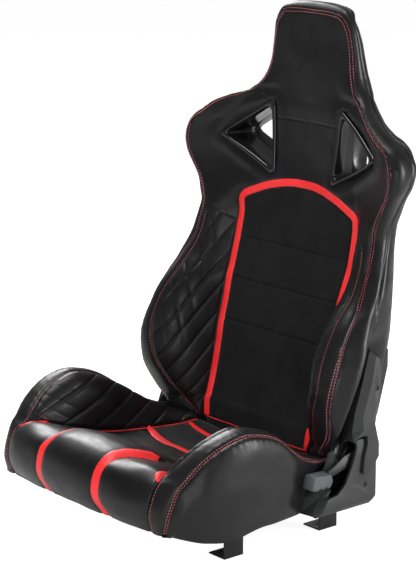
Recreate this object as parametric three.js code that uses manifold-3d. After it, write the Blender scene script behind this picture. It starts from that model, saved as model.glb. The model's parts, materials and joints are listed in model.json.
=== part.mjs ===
// Reclining bucket racing seat: tubular steel frame, moulded foam blocks, faceted recliner covers,
// harness slots beside the neck, one release lever and four L-shaped steel feet.
// Millimetres. +X is the sitter's left, the seat faces -Y, +Z is up and z = 0 is the underside of the feet.
// Depths (y) are measured back from the front of the cushion's nose; the last group centres them.
import * as THREE from 'three';
import { mergeVertices } from 'three/addons/utils/BufferGeometryUtils.js';
import Module from 'manifold-3d';

const wasm = await Module();
wasm.setup();

// ---------------------------------------------------------------- driving dimensions
const DEPTH = 655;               // nose to the rear of the head
const GAP = 0.3;                 // clearance between touching pieces
const PIVOT = { y: 455, z: 150 };// recliner axis, parallel to X

const FOOT = { outer: 205, reach: 43, width: 44, steel: 3, height: 98, frontY: 195, rearY: 422 };
const RAIL = { inner: 180, outer: 202, low: 70, high: 104, frontY: 70, rearY: 466, wall: 3 };
const FRONT_TUBE = { y: 84, z: 80, radius: 10 };
const REAR_TUBE = { y: 478, z: 90, radius: 11 };
const SEAT_MAT = { halfWidth: 168, frontY: 112, rearY: 426, low: 74, thick: 3 };

// Recliner stack, measured outwards from the centre plane.
const BASE_PLATE = { inner: 229, outer: 234 };
const FIXED_DISC = { inner: 234 + GAP, outer: 240, radius: 33 };
const MOVING_DISC = { inner: 240 + GAP, outer: 246, radius: 30 };
const ARM = { inner: 246 + GAP, outer: 250.5 };
const CLOCK_SPRING = { inner: 252, outer: 258, startRadius: 10, endRadius: 29, turns: 3, strip: 1.6 };
const LEVER_ARM = { inner: 262, outer: 266 };
const RETURN_SPRING = { startX: 259.5, pitch: 1, radius: 11, turns: 1.5, wire: 1.4 };
const ROD = { radius: 6, halfLength: 268, bore: 6.6 };
const COVER = { inner: 236.5, wall: 270, face: 276, lobeInner: 277, lobeFace: 283 };
const COVER_SWEEP = { lower: 40, upper: 43 };   // radii about the recliner axis that keep the covers apart

// Back sandwich, measured forwards from the rear surface.
const PANEL_WALL = 7;
const TUBE_DEPTH = 22;
const FRAME_TUBE = 11;
const FOAM_BACK = 36;
const MAT_DEPTH = 34;
const CENTRE_HALF_WIDTH = 164;
const NECK_HALF_WIDTH = 75;

// Harness slot: inner edge upright, apex outboard.
const SLOT = { innerX: 84, lowZ: 612, highZ: 733, apexX: 203, apexZ: 668, wall: 4, lip: 3, lipDepth: 6 };

// ---------------------------------------------------------------- section tables
// Back: height, depth of the insert's face, inner crest seam, outer crest seam and widest point as [x, y],
// depth of the rear surface.
const BACK_STATIONS = [
  { z: 166, face: 458, inner: [190, 424], outer: [222, 408], wide: [232, 413], rear: 528 },
  { z: 205, face: 465, inner: [208, 398], outer: [259, 396], wide: [272, 418], rear: 539 },
  { z: 250, face: 474, inner: [226, 381], outer: [268, 383], wide: [283, 408], rear: 550 },
  { z: 300, face: 486, inner: [237, 384], outer: [273, 389], wide: [288, 414], rear: 562 },
  { z: 350, face: 498, inner: [237, 400], outer: [268, 412], wide: [284, 436], rear: 574 },
  { z: 400, face: 512, inner: [231, 437], outer: [260, 446], wide: [279, 470], rear: 586 },
  { z: 450, face: 529, inner: [224, 480], outer: [246, 486], wide: [268, 508], rear: 600 },
  { z: 500, face: 543, inner: [219, 502], outer: [238, 507], wide: [260, 530], rear: 612 },
  { z: 556, face: 555, inner: [213, 510], outer: [238, 514], wide: [258, 540], rear: 624 },
];
// The bolster foam is notched for the recliner (low) and for the arm and its cover (high).
const RECLINER_NOTCH = { x: 226.5, frontY: 418, topZ: 210 };
const ARM_NOTCH = { x: 245, frontY: 430, topZ: 352 };

// Wing beside the harness slot: distance from the centre, front and back of the foam, bottom and top.
const WING_STATIONS = [
  { x: 75.3, front: 575, back: 594, low: 557, high: 765 },
  { x: 115, front: 568, back: 592, low: 557, high: 765 },
  { x: 145, front: 561, back: 592, low: 557, high: 760 },
  { x: 185, front: 547, back: 592, low: 557, high: 746 },
  { x: 225, front: 526, back: 584, low: 557, high: 733 },
  { x: 255, front: 516, back: 572, low: 566, high: 706 },
  { x: 276, front: 518, back: 560, low: 606, high: 688 },
  { x: 292, front: 533, back: 550, low: 632, high: 664 },
];

// Head: height, half width of the front face, widest half width, front and rear surfaces.
const HEAD_STATIONS = [
  { z: 766, face: 140, wide: 152, front: 571, rear: 650 },
  { z: 790, face: 124, wide: 134, front: 572, rear: 652 },
  { z: 830, face: 107, wide: 119, front: 575, rear: 655 },
  { z: 880, face: 101, wide: 112, front: 576, rear: 654 },
  { z: 908, face: 92, wide: 104, front: 577, rear: 648 },
  { z: 922, face: 74, wide: 84, front: 584, rear: 636 },
  { z: 928, face: 60, wide: 64, front: 596, rear: 622 },
];

// Cushion bolster: depth, inner crest seam, outer crest seam, widest point, underside, as [x, z].
const CUSHION_STATIONS = [
  { y: 3, floor: 146, inner: [196, 150], outer: [206, 150], wide: [208, 132], low: 112 },
  { y: 18, floor: 176, inner: [200, 176], outer: [228, 170], wide: [232, 140], low: 98 },
  { y: 45, floor: 192, inner: [200, 186], outer: [243, 172], wide: [252, 135], low: 88 },
  { y: 75, floor: 190, inner: [208, 202], outer: [251, 195], wide: [266, 142], low: 78 },
  { y: 115, floor: 182, inner: [220, 232], outer: [262, 228], wide: [277, 160], low: 68 },
  { y: 165, floor: 158, inner: [229, 249], outer: [268, 244], wide: [280, 170], low: 62 },
  { y: 220, floor: 138, inner: [229, 243], outer: [268, 241], wide: [278, 165], low: 60 },
  { y: 265, floor: 128, inner: [226, 224], outer: [266, 221], wide: [272, 150], low: 60 },
  { y: 300, floor: 124, inner: [220, 200], outer: [261, 194], wide: [264, 135], low: 60 },
  { y: 330, floor: 122, inner: [212, 180], outer: [246, 172], wide: [246, 125], low: 60 },
  { y: 344, floor: 121, inner: [206, 172], outer: [228, 165], wide: [228, 120], low: 62 },
  { y: 400, floor: 121, inner: [196, 148], outer: [224, 144], wide: [226, 115], low: 106 },
  { y: 432, floor: 121, inner: [190, 130], outer: [218, 128], wide: [222, 116], low: 106 },
];

// Side view of the cushion's middle: nose, dip of the seat and underside, as [y, z].
const CUSHION_PROFILE = [
  [29, 94], [8, 110], [0, 140], [4, 168], [22, 188], [52, 196], [95, 192], [150, 168], [200, 145],
  [270, 128], [340, 122], [436, 120], [442, 112], [442, 102], [430, 102], [430, 80], [108, 80], [108, 94],
];
const CUSHION_CENTRE_HALF_WIDTH = 177.5;

// ---------------------------------------------------------------- materials
const paint = (color, roughness, metalness = 0) =>
  new THREE.MeshStandardMaterial({ color, roughness, metalness });
const steelBlack = () => paint(0x26272a, 0.45, 0.6);
const zincSteel = () => paint(0x9a9da1, 0.4, 0.9);
const blackLeather = () => paint(0x141416, 0.42);
const blackSuede = () => paint(0x0c0c0d, 0.95);
const blackPlastic = () => paint(0x2b2c2e, 0.5);
const glossPlastic = () => paint(0x0e0e10, 0.2);
const greyPlastic = () => paint(0x8d9093, 0.45, 0.2);
const springSteel = () => paint(0x55585c, 0.35, 0.9);

// ---------------------------------------------------------------- solid helpers
function signedVolume(geometry) {
  const p = geometry.attributes.position;
  const index = geometry.index.array;
  const a = new THREE.Vector3();
  const b = new THREE.Vector3();
  const c = new THREE.Vector3();
  let sum = 0;
  for (let i = 0; i < index.length; i += 3) {
    a.fromBufferAttribute(p, index[i]);
    b.fromBufferAttribute(p, index[i + 1]);
    c.fromBufferAttribute(p, index[i + 2]);
    sum += a.dot(b.cross(c));
  }
  return sum / 6;
}

// Merge shared corners and turn every face outwards.
function closed(geometry) {
  const bare = geometry.clone();
  for (const name of Object.keys(bare.attributes)) {
    if (name !== 'position') bare.deleteAttribute(name);
  }
  const merged = mergeVertices(bare, 1e-4);
  if (signedVolume(merged) < 0) {
    const index = merged.index.array;
    for (let i = 0; i < index.length; i += 3) {
      [index[i], index[i + 1]] = [index[i + 1], index[i]];
    }
  }
  return merged;
}

function toManifold(geometry) {
  const solid = closed(geometry);
  return new wasm.Manifold(new wasm.Mesh({
    numProp: 3,
    vertProperties: new Float32Array(solid.attributes.position.array),
    triVerts: new Uint32Array(solid.index.array),
  }));
}

function fromManifold(manifold) {
  const mesh = manifold.getMesh();
  const geometry = new THREE.BufferGeometry();
  geometry.setAttribute('position', new THREE.BufferAttribute(new Float32Array(mesh.vertProperties), 3));
  geometry.setIndex(new THREE.BufferAttribute(new Uint32Array(mesh.triVerts), 1));
  return geometry;
}

const cut = (body, ...tools) =>
  fromManifold(tools.reduce((solid, tool) => solid.subtract(toManifold(tool)), toManifold(body)));
const join = (body, ...others) =>
  fromManifold(others.reduce((solid, other) => solid.add(toManifold(other)), toManifold(body)));

// Solid through rings of 3-D points; every ring has the same number of points.
function loft(rings) {
  const count = rings[0].length;
  const index = [];
  for (let r = 0; r + 1 < rings.length; r++) {
    for (let i = 0; i < count; i++) {
      const a = r * count + i;
      const b = r * count + ((i + 1) % count);
      index.push(a, b, b + count, a, b + count, a + count);
    }
  }
  const wallEdges = new Set();
  for (let i = 0; i < index.length; i += 3) {
    for (let k = 0; k < 3; k++) wallEdges.add(`${index[i + k]}_${index[i + ((k + 1) % 3)]}`);
  }
  for (const first of [0, (rings.length - 1) * count]) {
    index.push(...capFaces(rings[first / count], first, wallEdges));
  }
  const geometry = new THREE.BufferGeometry();
  geometry.setAttribute('position', new THREE.Float32BufferAttribute(rings.flat(2), 3));
  geometry.setIndex(index);
  return geometry;
}

// The two coordinates in which a flat ring is seen face on.
function capAxes(ring) {
  const spread = [0, 1, 2].map((k) => {
    const values = ring.map((p) => p[k]);
    return Math.max(...values) - Math.min(...values);
  });
  const flat = spread.indexOf(Math.min(...spread));
  return [(flat + 1) % 3, (flat + 2) % 3];
}

// Triangles that close one end ring. They run against the wall's edges, so the surface keeps one direction.
function capFaces(ring, first, wallEdges) {
  const [u, v] = capAxes(ring);
  const outline = ring.map((p) => new THREE.Vector2(p[u], p[v]));
  const faces = THREE.ShapeUtils.triangulateShape(outline, []).map((face) => face.map((i) => i + first));
  const alongWall = faces.some((face) => face.some((from, k) => wallEdges.has(`${from}_${face[(k + 1) % 3]}`)));
  return faces.flatMap(([a, b, c]) => (alongWall ? [b, a, c] : [a, b, c]));
}

const shapeOf = (points) => new THREE.Shape(points.map(([a, b]) => new THREE.Vector2(a, b)));
const SIDE_VIEW = new THREE.Matrix4().makeBasis(
  new THREE.Vector3(0, 1, 0), new THREE.Vector3(0, 0, 1), new THREE.Vector3(1, 0, 0));

// Outline of [y, z] points, drawn out along X.
function sidePlate(outline, x0, x1, holes = []) {
  const shape = shapeOf(outline);
  shape.holes = holes.map((hole) => new THREE.Path(hole.map(([a, b]) => new THREE.Vector2(a, b))));
  const geometry = new THREE.ExtrudeGeometry(shape, { depth: x1 - x0, bevelEnabled: false });
  return geometry.translate(0, 0, x0).applyMatrix4(SIDE_VIEW);
}

// Outline of [x, z] points between a front and a rear surface y(x).
function frontPrism(outline, front, rear, holes = []) {
  const shape = shapeOf(outline);
  shape.holes = holes.map((hole) => new THREE.Path(hole.map(([a, b]) => new THREE.Vector2(a, b))));
  const geometry = new THREE.ExtrudeGeometry(shape, { depth: 1, bevelEnabled: false });
  const p = geometry.attributes.position;
  for (let i = 0; i < p.count; i++) {
    const x = p.getX(i);
    const z = p.getY(i);
    const y = p.getZ(i) < 0.5 ? front(x, z) : rear(x, z);
    p.setXYZ(i, x, y, z);
  }
  return geometry;
}

function tube(points, radius, sides = 10, steps = 12) {
  const path = new THREE.CatmullRomCurve3(points.map((p) => new THREE.Vector3(...p)), false, 'centripetal');
  return new THREE.ExtrudeGeometry(shapeOf(circle(0, 0, radius, sides)),
    { steps, extrudePath: path, bevelEnabled: false });
}

const circle = (a, b, radius, sides = 24) => Array.from({ length: sides }, (_, i) => {
  const angle = (2 * Math.PI * i) / sides;
  return [a + radius * Math.cos(angle), b + radius * Math.sin(angle)];
});

const arcPoints = (centre, radius, fromDeg, toDeg, steps) => Array.from({ length: steps + 1 }, (_, i) => {
  const angle = THREE.MathUtils.degToRad(fromDeg + ((toDeg - fromDeg) * i) / steps);
  return [centre.y + radius * Math.cos(angle), centre.z + radius * Math.sin(angle)];
});

const barX = (y, z, radius, x0, x1, sides = 20) => sidePlate(circle(y, z, radius, sides), x0, x1);

function box(x0, x1, y0, y1, z0, z1) {
  return new THREE.BoxGeometry(x1 - x0, y1 - y0, z1 - z0)
    .translate((x0 + x1) / 2, (y0 + y1) / 2, (z0 + z1) / 2);
}

const mirrored = (geometry) => geometry.clone().scale(-1, 1, 1);

// Straight-line value of one column of a section table.
function along(table, key, column, at) {
  const last = table.length - 1;
  let i = 0;
  while (i < last - 1 && at > table[i + 1][key]) i++;
  const share = (at - table[i][key]) / (table[i + 1][key] - table[i][key]);
  return table[i][column] + (table[i + 1][column] - table[i][column]) * share;
}

// ---------------------------------------------------------------- assembly groups
const seat = new THREE.Group();
seat.position.y = -DEPTH / 2;

function add(name, geometry, material) {
  const mesh = new THREE.Mesh(closed(geometry), material);
  mesh.name = name;
  seat.add(mesh);
}

// The left piece (+X) and its mirror image.
function addPair(name, geometry, material) {
  add(`${name}_left`, geometry, material());
  add(`${name}_right`, mirrored(geometry), material());
}

// ---------------------------------------------------------------- feet, rails and seat frame
function foot(frontY) {
  const { outer, reach, width, steel, height } = FOOT;
  const plate = box(outer - steel, outer, frontY, frontY + width, 0, height);
  const flange = box(outer - reach, outer - steel / 2, frontY, frontY + width, 0, steel);
  const slot = box(outer - 22, outer - 9, frontY + width / 2 - 5, frontY + width / 2 + 5, -1, steel + 1);
  return cut(join(plate, flange), slot);
}

function footBolt(frontY) {
  const middleY = frontY + FOOT.width / 2;
  const boltZ = 86;
  return barX(middleY, boltZ, 7, FOOT.outer + GAP, FOOT.outer + 5, 6);
}

function rail() {
  const { inner, outer, low, high, frontY, rearY, wall } = RAIL;
  const block = box(inner, outer - GAP - FOOT.steel + wall, frontY, rearY, low, high);
  const channel = box(inner - 1, outer - FOOT.steel - wall, frontY - 1, rearY + 1, low + wall, high - wall);
  return cut(block, channel);
}

function buildBase() {
  addPair('foot_front', foot(FOOT.frontY), steelBlack);
  addPair('foot_rear', foot(FOOT.rearY), steelBlack);
  addPair('foot_bolt_front', footBolt(FOOT.frontY), zincSteel);
  addPair('foot_bolt_rear', footBolt(FOOT.rearY), zincSteel);
  addPair('base_rail', rail(), steelBlack);
  const tubeEnd = RAIL.inner - GAP;
  add('front_cross_tube', barX(FRONT_TUBE.y, FRONT_TUBE.z, FRONT_TUBE.radius, -tubeEnd, tubeEnd), steelBlack());
  const plateSide = BASE_PLATE.inner - GAP;
  add('rear_cross_tube', barX(REAR_TUBE.y, REAR_TUBE.z, REAR_TUBE.radius, -plateSide, plateSide), steelBlack());
  const mat = SEAT_MAT;
  add('seat_suspension_mat',
    box(-mat.halfWidth, mat.halfWidth, mat.frontY, mat.rearY, mat.low, mat.low + mat.thick), springSteel());
}

// ---------------------------------------------------------------- cushion foam
function cushionBolster() {
  const inner = CUSHION_CENTRE_HALF_WIDTH + GAP;
  const railTop = RAIL.high + 2;
  const railSide = FOOT.outer + 7;
  const rings = CUSHION_STATIONS.map((s) => {
    const overRail = s.y > RAIL.frontY - 30;
    const stepZ = overRail ? railTop : s.low + 3;
    const skirtX = Math.min(overRail ? railSide : inner + 6, s.wide[0] - 16);
    return [
      [inner, s.y, stepZ], [inner, s.y, Math.max(s.floor, stepZ + 4)], [s.inner[0], s.y, s.inner[1]],
      [(s.inner[0] + s.outer[0]) / 2, s.y, Math.max(s.inner[1], s.outer[1]) + 4],
      [s.outer[0], s.y, s.outer[1]], [s.wide[0], s.y, s.wide[1]],
      [s.wide[0] - 2, s.y, s.low + 12], [s.wide[0] - 10, s.y, s.low],
      [skirtX, s.y, s.low], [skirtX - 0.5, s.y, stepZ],
    ];
  });
  return loft(rings);
}

function buildCushion() {
  const w = CUSHION_CENTRE_HALF_WIDTH;
  add('cushion_foam_centre', sidePlate(CUSHION_PROFILE, -w, w), blackSuede());
  addPair('cushion_foam_bolster', cushionBolster(), blackLeather);
}

// ---------------------------------------------------------------- recliner mechanism
function recliners() {
  const { y, z } = PIVOT;
  const bore = circle(y, z, ROD.bore, 20);
  const basePlate = [
    [356, 66], [492, 66], [492, 120], ...arcPoints(PIVOT, 38, -20, 200, 14), [405, 112], [356, 92],
  ];
  const tubeHole = barX(REAR_TUBE.y, REAR_TUBE.z, 0.5 * REAR_TUBE.radius, 0, 300, 16);
  addPair('recliner_base_plate',
    cut(sidePlate(basePlate, BASE_PLATE.inner, BASE_PLATE.outer, [bore]), tubeHole), steelBlack);
  addPair('recliner_disc_fixed',
    sidePlate(circle(y, z, FIXED_DISC.radius, 36), FIXED_DISC.inner, FIXED_DISC.outer, [bore]), zincSteel);
  addPair('recliner_disc_moving',
    sidePlate(circle(y, z, MOVING_DISC.radius, 36), MOVING_DISC.inner, MOVING_DISC.outer, [bore]), zincSteel);
  const arm = [
    ...arcPoints(PIVOT, 30, 190, 350, 10), [490, 176], [520, 215], [544, 300], [544, 332], [474, 332],
    [462, 290], [444, 220], [430, 176],
  ];
  addPair('recliner_arm', sidePlate(arm, ARM.inner, ARM.outer, [bore]), steelBlack);
  addPair('assist_spring', clockSpring(), springSteel);
}

// Flat spiral strip around the recliner axis.
function clockSpring() {
  const { startRadius, endRadius, turns, strip, inner, outer } = CLOCK_SPRING;
  const steps = turns * 14;
  const edge = (offset) => Array.from({ length: steps + 1 }, (_, i) => {
    const angle = (2 * Math.PI * turns * i) / steps;
    const radius = startRadius + ((endRadius - startRadius) * i) / steps + offset;
    return [PIVOT.y + radius * Math.cos(angle), PIVOT.z + radius * Math.sin(angle)];
  });
  return sidePlate([...edge(0), ...edge(strip).reverse()], inner, outer);
}

// ---------------------------------------------------------------- recliner covers
const ringAt = (x, outline) => outline.map(([y, z]) => [x, y, z]);

function lowerCover() {
  const dome = (radius) => arcPoints(PIVOT, radius, 112, 22, 6);
  const rear = 495;
  const root = [
    [345, 60], [352, 90], [372, 99], [390, 117], [403, 138], [412, 158], [425, 174], ...dome(COVER_SWEEP.lower),
    [rear, 150], [rear, 66], [484, 58],
  ];
  const ridge = [
    [349, 60], [372, 93], [412, 103], [429, 124], [438, 148], [441, 162], [443, 176], ...dome(COVER_SWEEP.lower),
    [rear, 150], [rear, 62], [485, 57],
  ];
  const edge = [
    [353, 57], [375, 89], [400, 92], [420, 110], [434, 138], [442, 158], [446, 172], ...dome(COVER_SWEEP.lower - 4),
    [rear, 148], [rear, 62], [485, 57],
  ];
  const face = [
    [362, 66], [377, 89], [400, 92], [420, 110], [434, 138], [442, 158], [446, 172], ...dome(COVER_SWEEP.lower - 4),
    [rear - 1, 148], [rear - 1, 72], [481, 66],
  ];
  const body = loft([
    ringAt(COVER.inner, root), ringAt(262, ridge), ringAt(268, edge), ringAt(COVER.face, face),
  ]);
  const pocket = sidePlate(
    [[380, 68], [490, 68], [490, 140], ...arcPoints(PIVOT, 35.5, -10, 190, 12), [404, 104], [386, 92]],
    COVER.inner - 1, COVER.wall);
  const leverSlot = box(LEVER_ARM.inner - 2, LEVER_ARM.outer + 2, 384, 440, 118, 172);
  const openTop = box(COVER.inner - 1, ARM.outer + 1.5, 420, 500, 120, 200);
  const screwWell = barX(466, 98, 4.8, COVER.face - 4, COVER.face + 2, 16);
  return cut(body, pocket, leverSlot, openTop, screwWell);
}

function upperCover() {
  const arcLow = arcPoints(PIVOT, COVER_SWEEP.upper, 124, 42, 5);
  const root = [...arcLow, [496, 215], [499, 274], [499, 334], [474, 347], [458, 296], [438, 236], [432, 200]];
  const shoulder = [...arcLow, [494, 218], [499, 274], [498, 333], [474, 346], [460, 295], [440, 234], [434, 200]];
  const face = [...arcLow, [480, 221], [496, 274], [493, 328], [482, 336], [474, 291], [452, 227], [455, 205]];
  const body = loft([
    ringAt(ARM.outer + 1.5, root), ringAt(274, shoulder), ringAt(COVER.lobeFace, face),
  ]);
  const lobe = sidePlate(
    [[462, 215], [481, 219], [494, 172], [494, 148], [471, 117], [456, 121], [459, 150], [466, 176]],
    COVER.lobeInner, COVER.lobeFace - 0.5);
  const pocket = sidePlate(
    [[455, 206], [486, 206], [493, 270], [493, 326], [480, 330], [466, 285], [452, 232]],
    ARM.outer, 270);
  const screwWell = barX(486, 276, 4.8, COVER.lobeFace - 4, COVER.lobeFace + 2, 16);
  return cut(join(body, lobe), pocket, screwWell);
}

function buildCovers() {
  addPair('lower_cover', lowerCover(), blackPlastic);
  addPair('upper_cover', upperCover(), blackPlastic);
  addPair('lower_cover_screw', barX(466, 98, 4.3, COVER.face - 3.6, COVER.face - 1.5, 12), steelBlack);
  addPair('upper_cover_screw', barX(486, 276, 4.3, COVER.lobeFace - 3.6, COVER.lobeFace - 1.5, 12), steelBlack);
}

// ---------------------------------------------------------------- release lever
function leverGrip() {
  const fingers = [[376, 109], [371, 115], [362, 110], [357, 115], [349, 111]];
  const outline = [[334, 116], [340, 139], [381, 137], [385, 122], ...fingers, [342, 111]];
  return loft([
    ringAt(253, outline), ringAt(276, outline),
    ringAt(280, outline.map(([y, z]) => [y + (359 - y) * 0.06, z + (127 - z) * 0.14])),
  ]);
}

function buildRelease() {
  const { y, z } = PIVOT;
  add('recliner_sync_rod', barX(y, z, ROD.radius, -ROD.halfLength, ROD.halfLength), zincSteel());
  const arm = [...arcPoints(PIVOT, 13, -80, 100, 8), [425, 158], [385.3, 136], [385.3, 123], [425, 133]];
  add('release_lever_arm', sidePlate(arm, LEVER_ARM.inner, LEVER_ARM.outer, [circle(y, z, ROD.bore - 0.3, 20)]),
    steelBlack());
  add('release_lever_grip', leverGrip(), greyPlastic());
  const { startX, pitch, radius, turns, wire } = RETURN_SPRING;
  const steps = 12;
  const coil = Array.from({ length: steps + 1 }, (_, i) => {
    const turn = (turns * i) / steps;
    const angle = 2 * Math.PI * turn;
    return [startX + pitch * turn, y + radius * Math.cos(angle), z + radius * Math.sin(angle)];
  });
  add('lever_return_spring', tube(coil, wire / 2, 6, 24), springSteel());
}

// ---------------------------------------------------------------- back frame
const rearAt = (z) => (z < 556 ? along(BACK_STATIONS, 'z', 'rear', z) : along([
  { z: 556, rear: 624 }, { z: 640, rear: 638 }, { z: 766, rear: 650 }, { z: 830, rear: 655 },
], 'z', 'rear', z));

function buildBackFrame() {
  const tubeY = (z) => rearAt(z) - TUBE_DEPTH;
  const uprightX = 226;
  const upright = [[uprightX, 190], [uprightX, 260], [222, 330], [212, 400], [200, 470]];
  addPair('back_upright', tube(upright.map(([x, z]) => [x, tubeY(z), z]), FRAME_TUBE), steelBlack);
  const neck = [[196, 486], [182, 525], [130, 562], [72, 592], [58, 640], [58, 700], [58, 748]];
  addPair('back_neck_tube', tube(neck.map(([x, z]) => [x, tubeY(z), z]), FRAME_TUBE - 2, 10, 20), steelBlack);
  add('head_frame_plate', box(-68, 68, 628, 631, 772, 884), steelBlack());
  const lowZ = 212;
  const crossEnd = uprightX - FRAME_TUBE - 1;
  add('back_cross_tube', barX(tubeY(lowZ), lowZ, FRAME_TUBE - 2, -crossEnd, crossEnd), steelBlack());
  add('back_suspension_mat', suspensionMat(), springSteel());
  addPair('wing_wire', wingWire(), springSteel);
}

function suspensionMat() {
  const levels = [240, 330, 400, 470];
  return loft(levels.map((z) => {
    const y = rearAt(z) - MAT_DEPTH;
    return [[-150, y, z], [150, y, z], [150, y + 2.4, z], [-150, y + 2.4, z]];
  }));
}

function wingWire() {
  const route = [[196, 562], [222, 596], [231, 640], [227, 672], [206, 699], [172, 720], [130, 742], [82, 750]];
  const wireRadius = 3;
  const depth = (x) => along(WING_STATIONS, 'x', 'back', x) + wireRadius + 1.5;
  return tube(route.map(([x, z]) => [x, depth(x), z]), wireRadius, 6, 20);
}

// ---------------------------------------------------------------- back foam
function backCentreFoam() {
  const w = CENTRE_HALF_WIDTH;
  return loft(BACK_STATIONS.map((s) => {
    const back = s.rear - FOAM_BACK;
    return [[-w, s.face, s.z], [0, s.face + 4, s.z], [w, s.face, s.z], [w, back, s.z], [-w, back, s.z]];
  }));
}

function backBolster() {
  const x0 = CENTRE_HALF_WIDTH + GAP;
  const { topZ } = ARM_NOTCH;
  const section = (s) => {
    const back = s.rear - FOAM_BACK;
    const notch = s.z < RECLINER_NOTCH.topZ ? RECLINER_NOTCH : ARM_NOTCH;
    const notched = s.z < topZ;
    const side = notched ? notch.x : s.wide[0] + 2;
    const notchY = notched ? notch.frontY : Math.min(s.wide[1] + 24, back - 6);
    const backX = notched ? notch.x : s.wide[0] - 2;
    return [
      [x0, s.face, s.z], [s.inner[0], s.inner[1], s.z],
      [(s.inner[0] + s.outer[0]) / 2, Math.min(s.inner[1], s.outer[1]) - 4, s.z],
      [s.outer[0], s.outer[1], s.z], [s.wide[0], Math.min(s.wide[1], notchY - 4), s.z],
      [side, notchY, s.z], [backX, back, s.z], [x0, back, s.z],
    ];
  };
  const lowPart = BACK_STATIONS.filter((s) => s.z < topZ);
  const highPart = BACK_STATIONS.filter((s) => s.z > topZ);
  const step = { ...BACK_STATIONS.find((s) => s.z === 350), z: topZ + 1 };
  return loft([...lowPart, step, ...highPart].map(section));
}

// Triangular slot outline, grown outwards by an offset; corners rounded.
function slotOutline(grow) {
  const corners = [
    [SLOT.innerX - grow, SLOT.lowZ - 1.6 * grow],
    [SLOT.apexX + 2 * grow, SLOT.apexZ],
    [SLOT.innerX + 12 - grow, SLOT.highZ + 1.8 * grow],
  ];
  const cutBack = 12;
  return corners.flatMap((corner, i) => {
    const before = corners[(i + 2) % 3];
    const after = corners[(i + 1) % 3];
    const toward = (other, distance) => {
      const length = Math.hypot(other[0] - corner[0], other[1] - corner[1]);
      return corner.map((v, k) => v + ((other[k] - v) * distance) / length);
    };
    const start = toward(before, cutBack);
    const end = toward(after, cutBack);
    const middle = corner.map((v, k) => (v + (start[k] + end[k]) / 2) / 2);
    return [start, middle, end];
  });
}

const slotPlane = (x) => 576 - (x - SLOT.innerX) * 0.26;
const SLOT_SPLIT = 604;
const slotTool = (grow, front, rear) => frontPrism(slotOutline(grow), () => front, () => rear);

function wingFoam() {
  const rings = WING_STATIONS.map((s) => {
    const soft = Math.min(14, (s.high - s.low) / 4);
    const bevel = Math.min(10, (s.back - s.front) / 3);
    return [
      [s.x, s.front + bevel, s.low], [s.x, s.front, s.low + soft], [s.x, s.front, s.high - soft],
      [s.x, s.front + bevel, s.high - 3], [s.x, s.back, s.high], [s.x, s.back, s.low],
    ];
  });
  return cut(loft(rings), slotTool(SLOT.wall + GAP, 400, 800), slotLipTool());
}

const slotLipTool = () =>
  frontPrism(slotOutline(SLOT.wall + SLOT.lip + GAP), () => 400, (x) => slotPlane(x) + SLOT.lipDepth);

// Front bezel: flanged triangular tunnel, its mouth following the slanted face of the wing.
function frontBezel() {
  const outer = slotOutline(SLOT.wall);
  const lip = slotOutline(SLOT.wall + SLOT.lip);
  const mouth = (x) => slotPlane(x) - 2;
  const tunnel = frontPrism(outer, (x) => slotPlane(x) + 1, () => SLOT_SPLIT);
  const flange = frontPrism(lip, mouth, (x) => slotPlane(x) + SLOT.lipDepth - GAP);
  return cut(join(tunnel, flange), slotTool(0, 400, 800));
}

function rearBezel() {
  const rearY = 641;
  const tunnel = frontPrism(slotOutline(SLOT.wall), () => SLOT_SPLIT + GAP, (x) => rearY - slotDrop(x));
  const flange = frontPrism(slotOutline(SLOT.wall + SLOT.lip),
    (x) => rearY - slotDrop(x) - 2, (x) => rearY - slotDrop(x) + 2);
  return cut(join(tunnel, flange), slotTool(0, 400, 800));
}

const slotDrop = (x) => Math.max(0, x - 100) * 0.12;

function neckFoam() {
  const w = NECK_HALF_WIDTH;
  const levels = [
    { z: 557, front: 556, rear: 588 }, { z: 612, front: 569, rear: 598 }, { z: 680, front: 574, rear: 606 },
    { z: 765, front: 571, rear: 612 },
  ];
  return loft(levels.map((s) => [
    [-w, s.front, s.z], [w, s.front, s.z], [w, s.rear, s.z], [-w, s.rear, s.z],
  ]));
}

function headFoam() {
  const rings = HEAD_STATIONS.map((s) => {
    const back = Math.min(s.rear, 616);
    const middle = (s.front + back) / 2;
    return [
      [-s.wide, middle, s.z], [-s.face, s.front, s.z], [s.face, s.front, s.z], [s.wide, middle, s.z],
      [s.face, back, s.z], [-s.face, back, s.z],
    ];
  });
  return loft(rings);
}

function buildBackFoam() {
  add('back_foam_centre', backCentreFoam(), blackSuede());
  addPair('back_foam_bolster', backBolster(), blackLeather);
  addPair('wing_foam', wingFoam(), blackLeather);
  add('neck_foam', neckFoam(), blackLeather());
  add('head_foam', headFoam(), blackLeather());
  addPair('harness_bezel_front', frontBezel(), glossPlastic);
  addPair('harness_bezel_rear', rearBezel(), glossPlastic);
}

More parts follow.
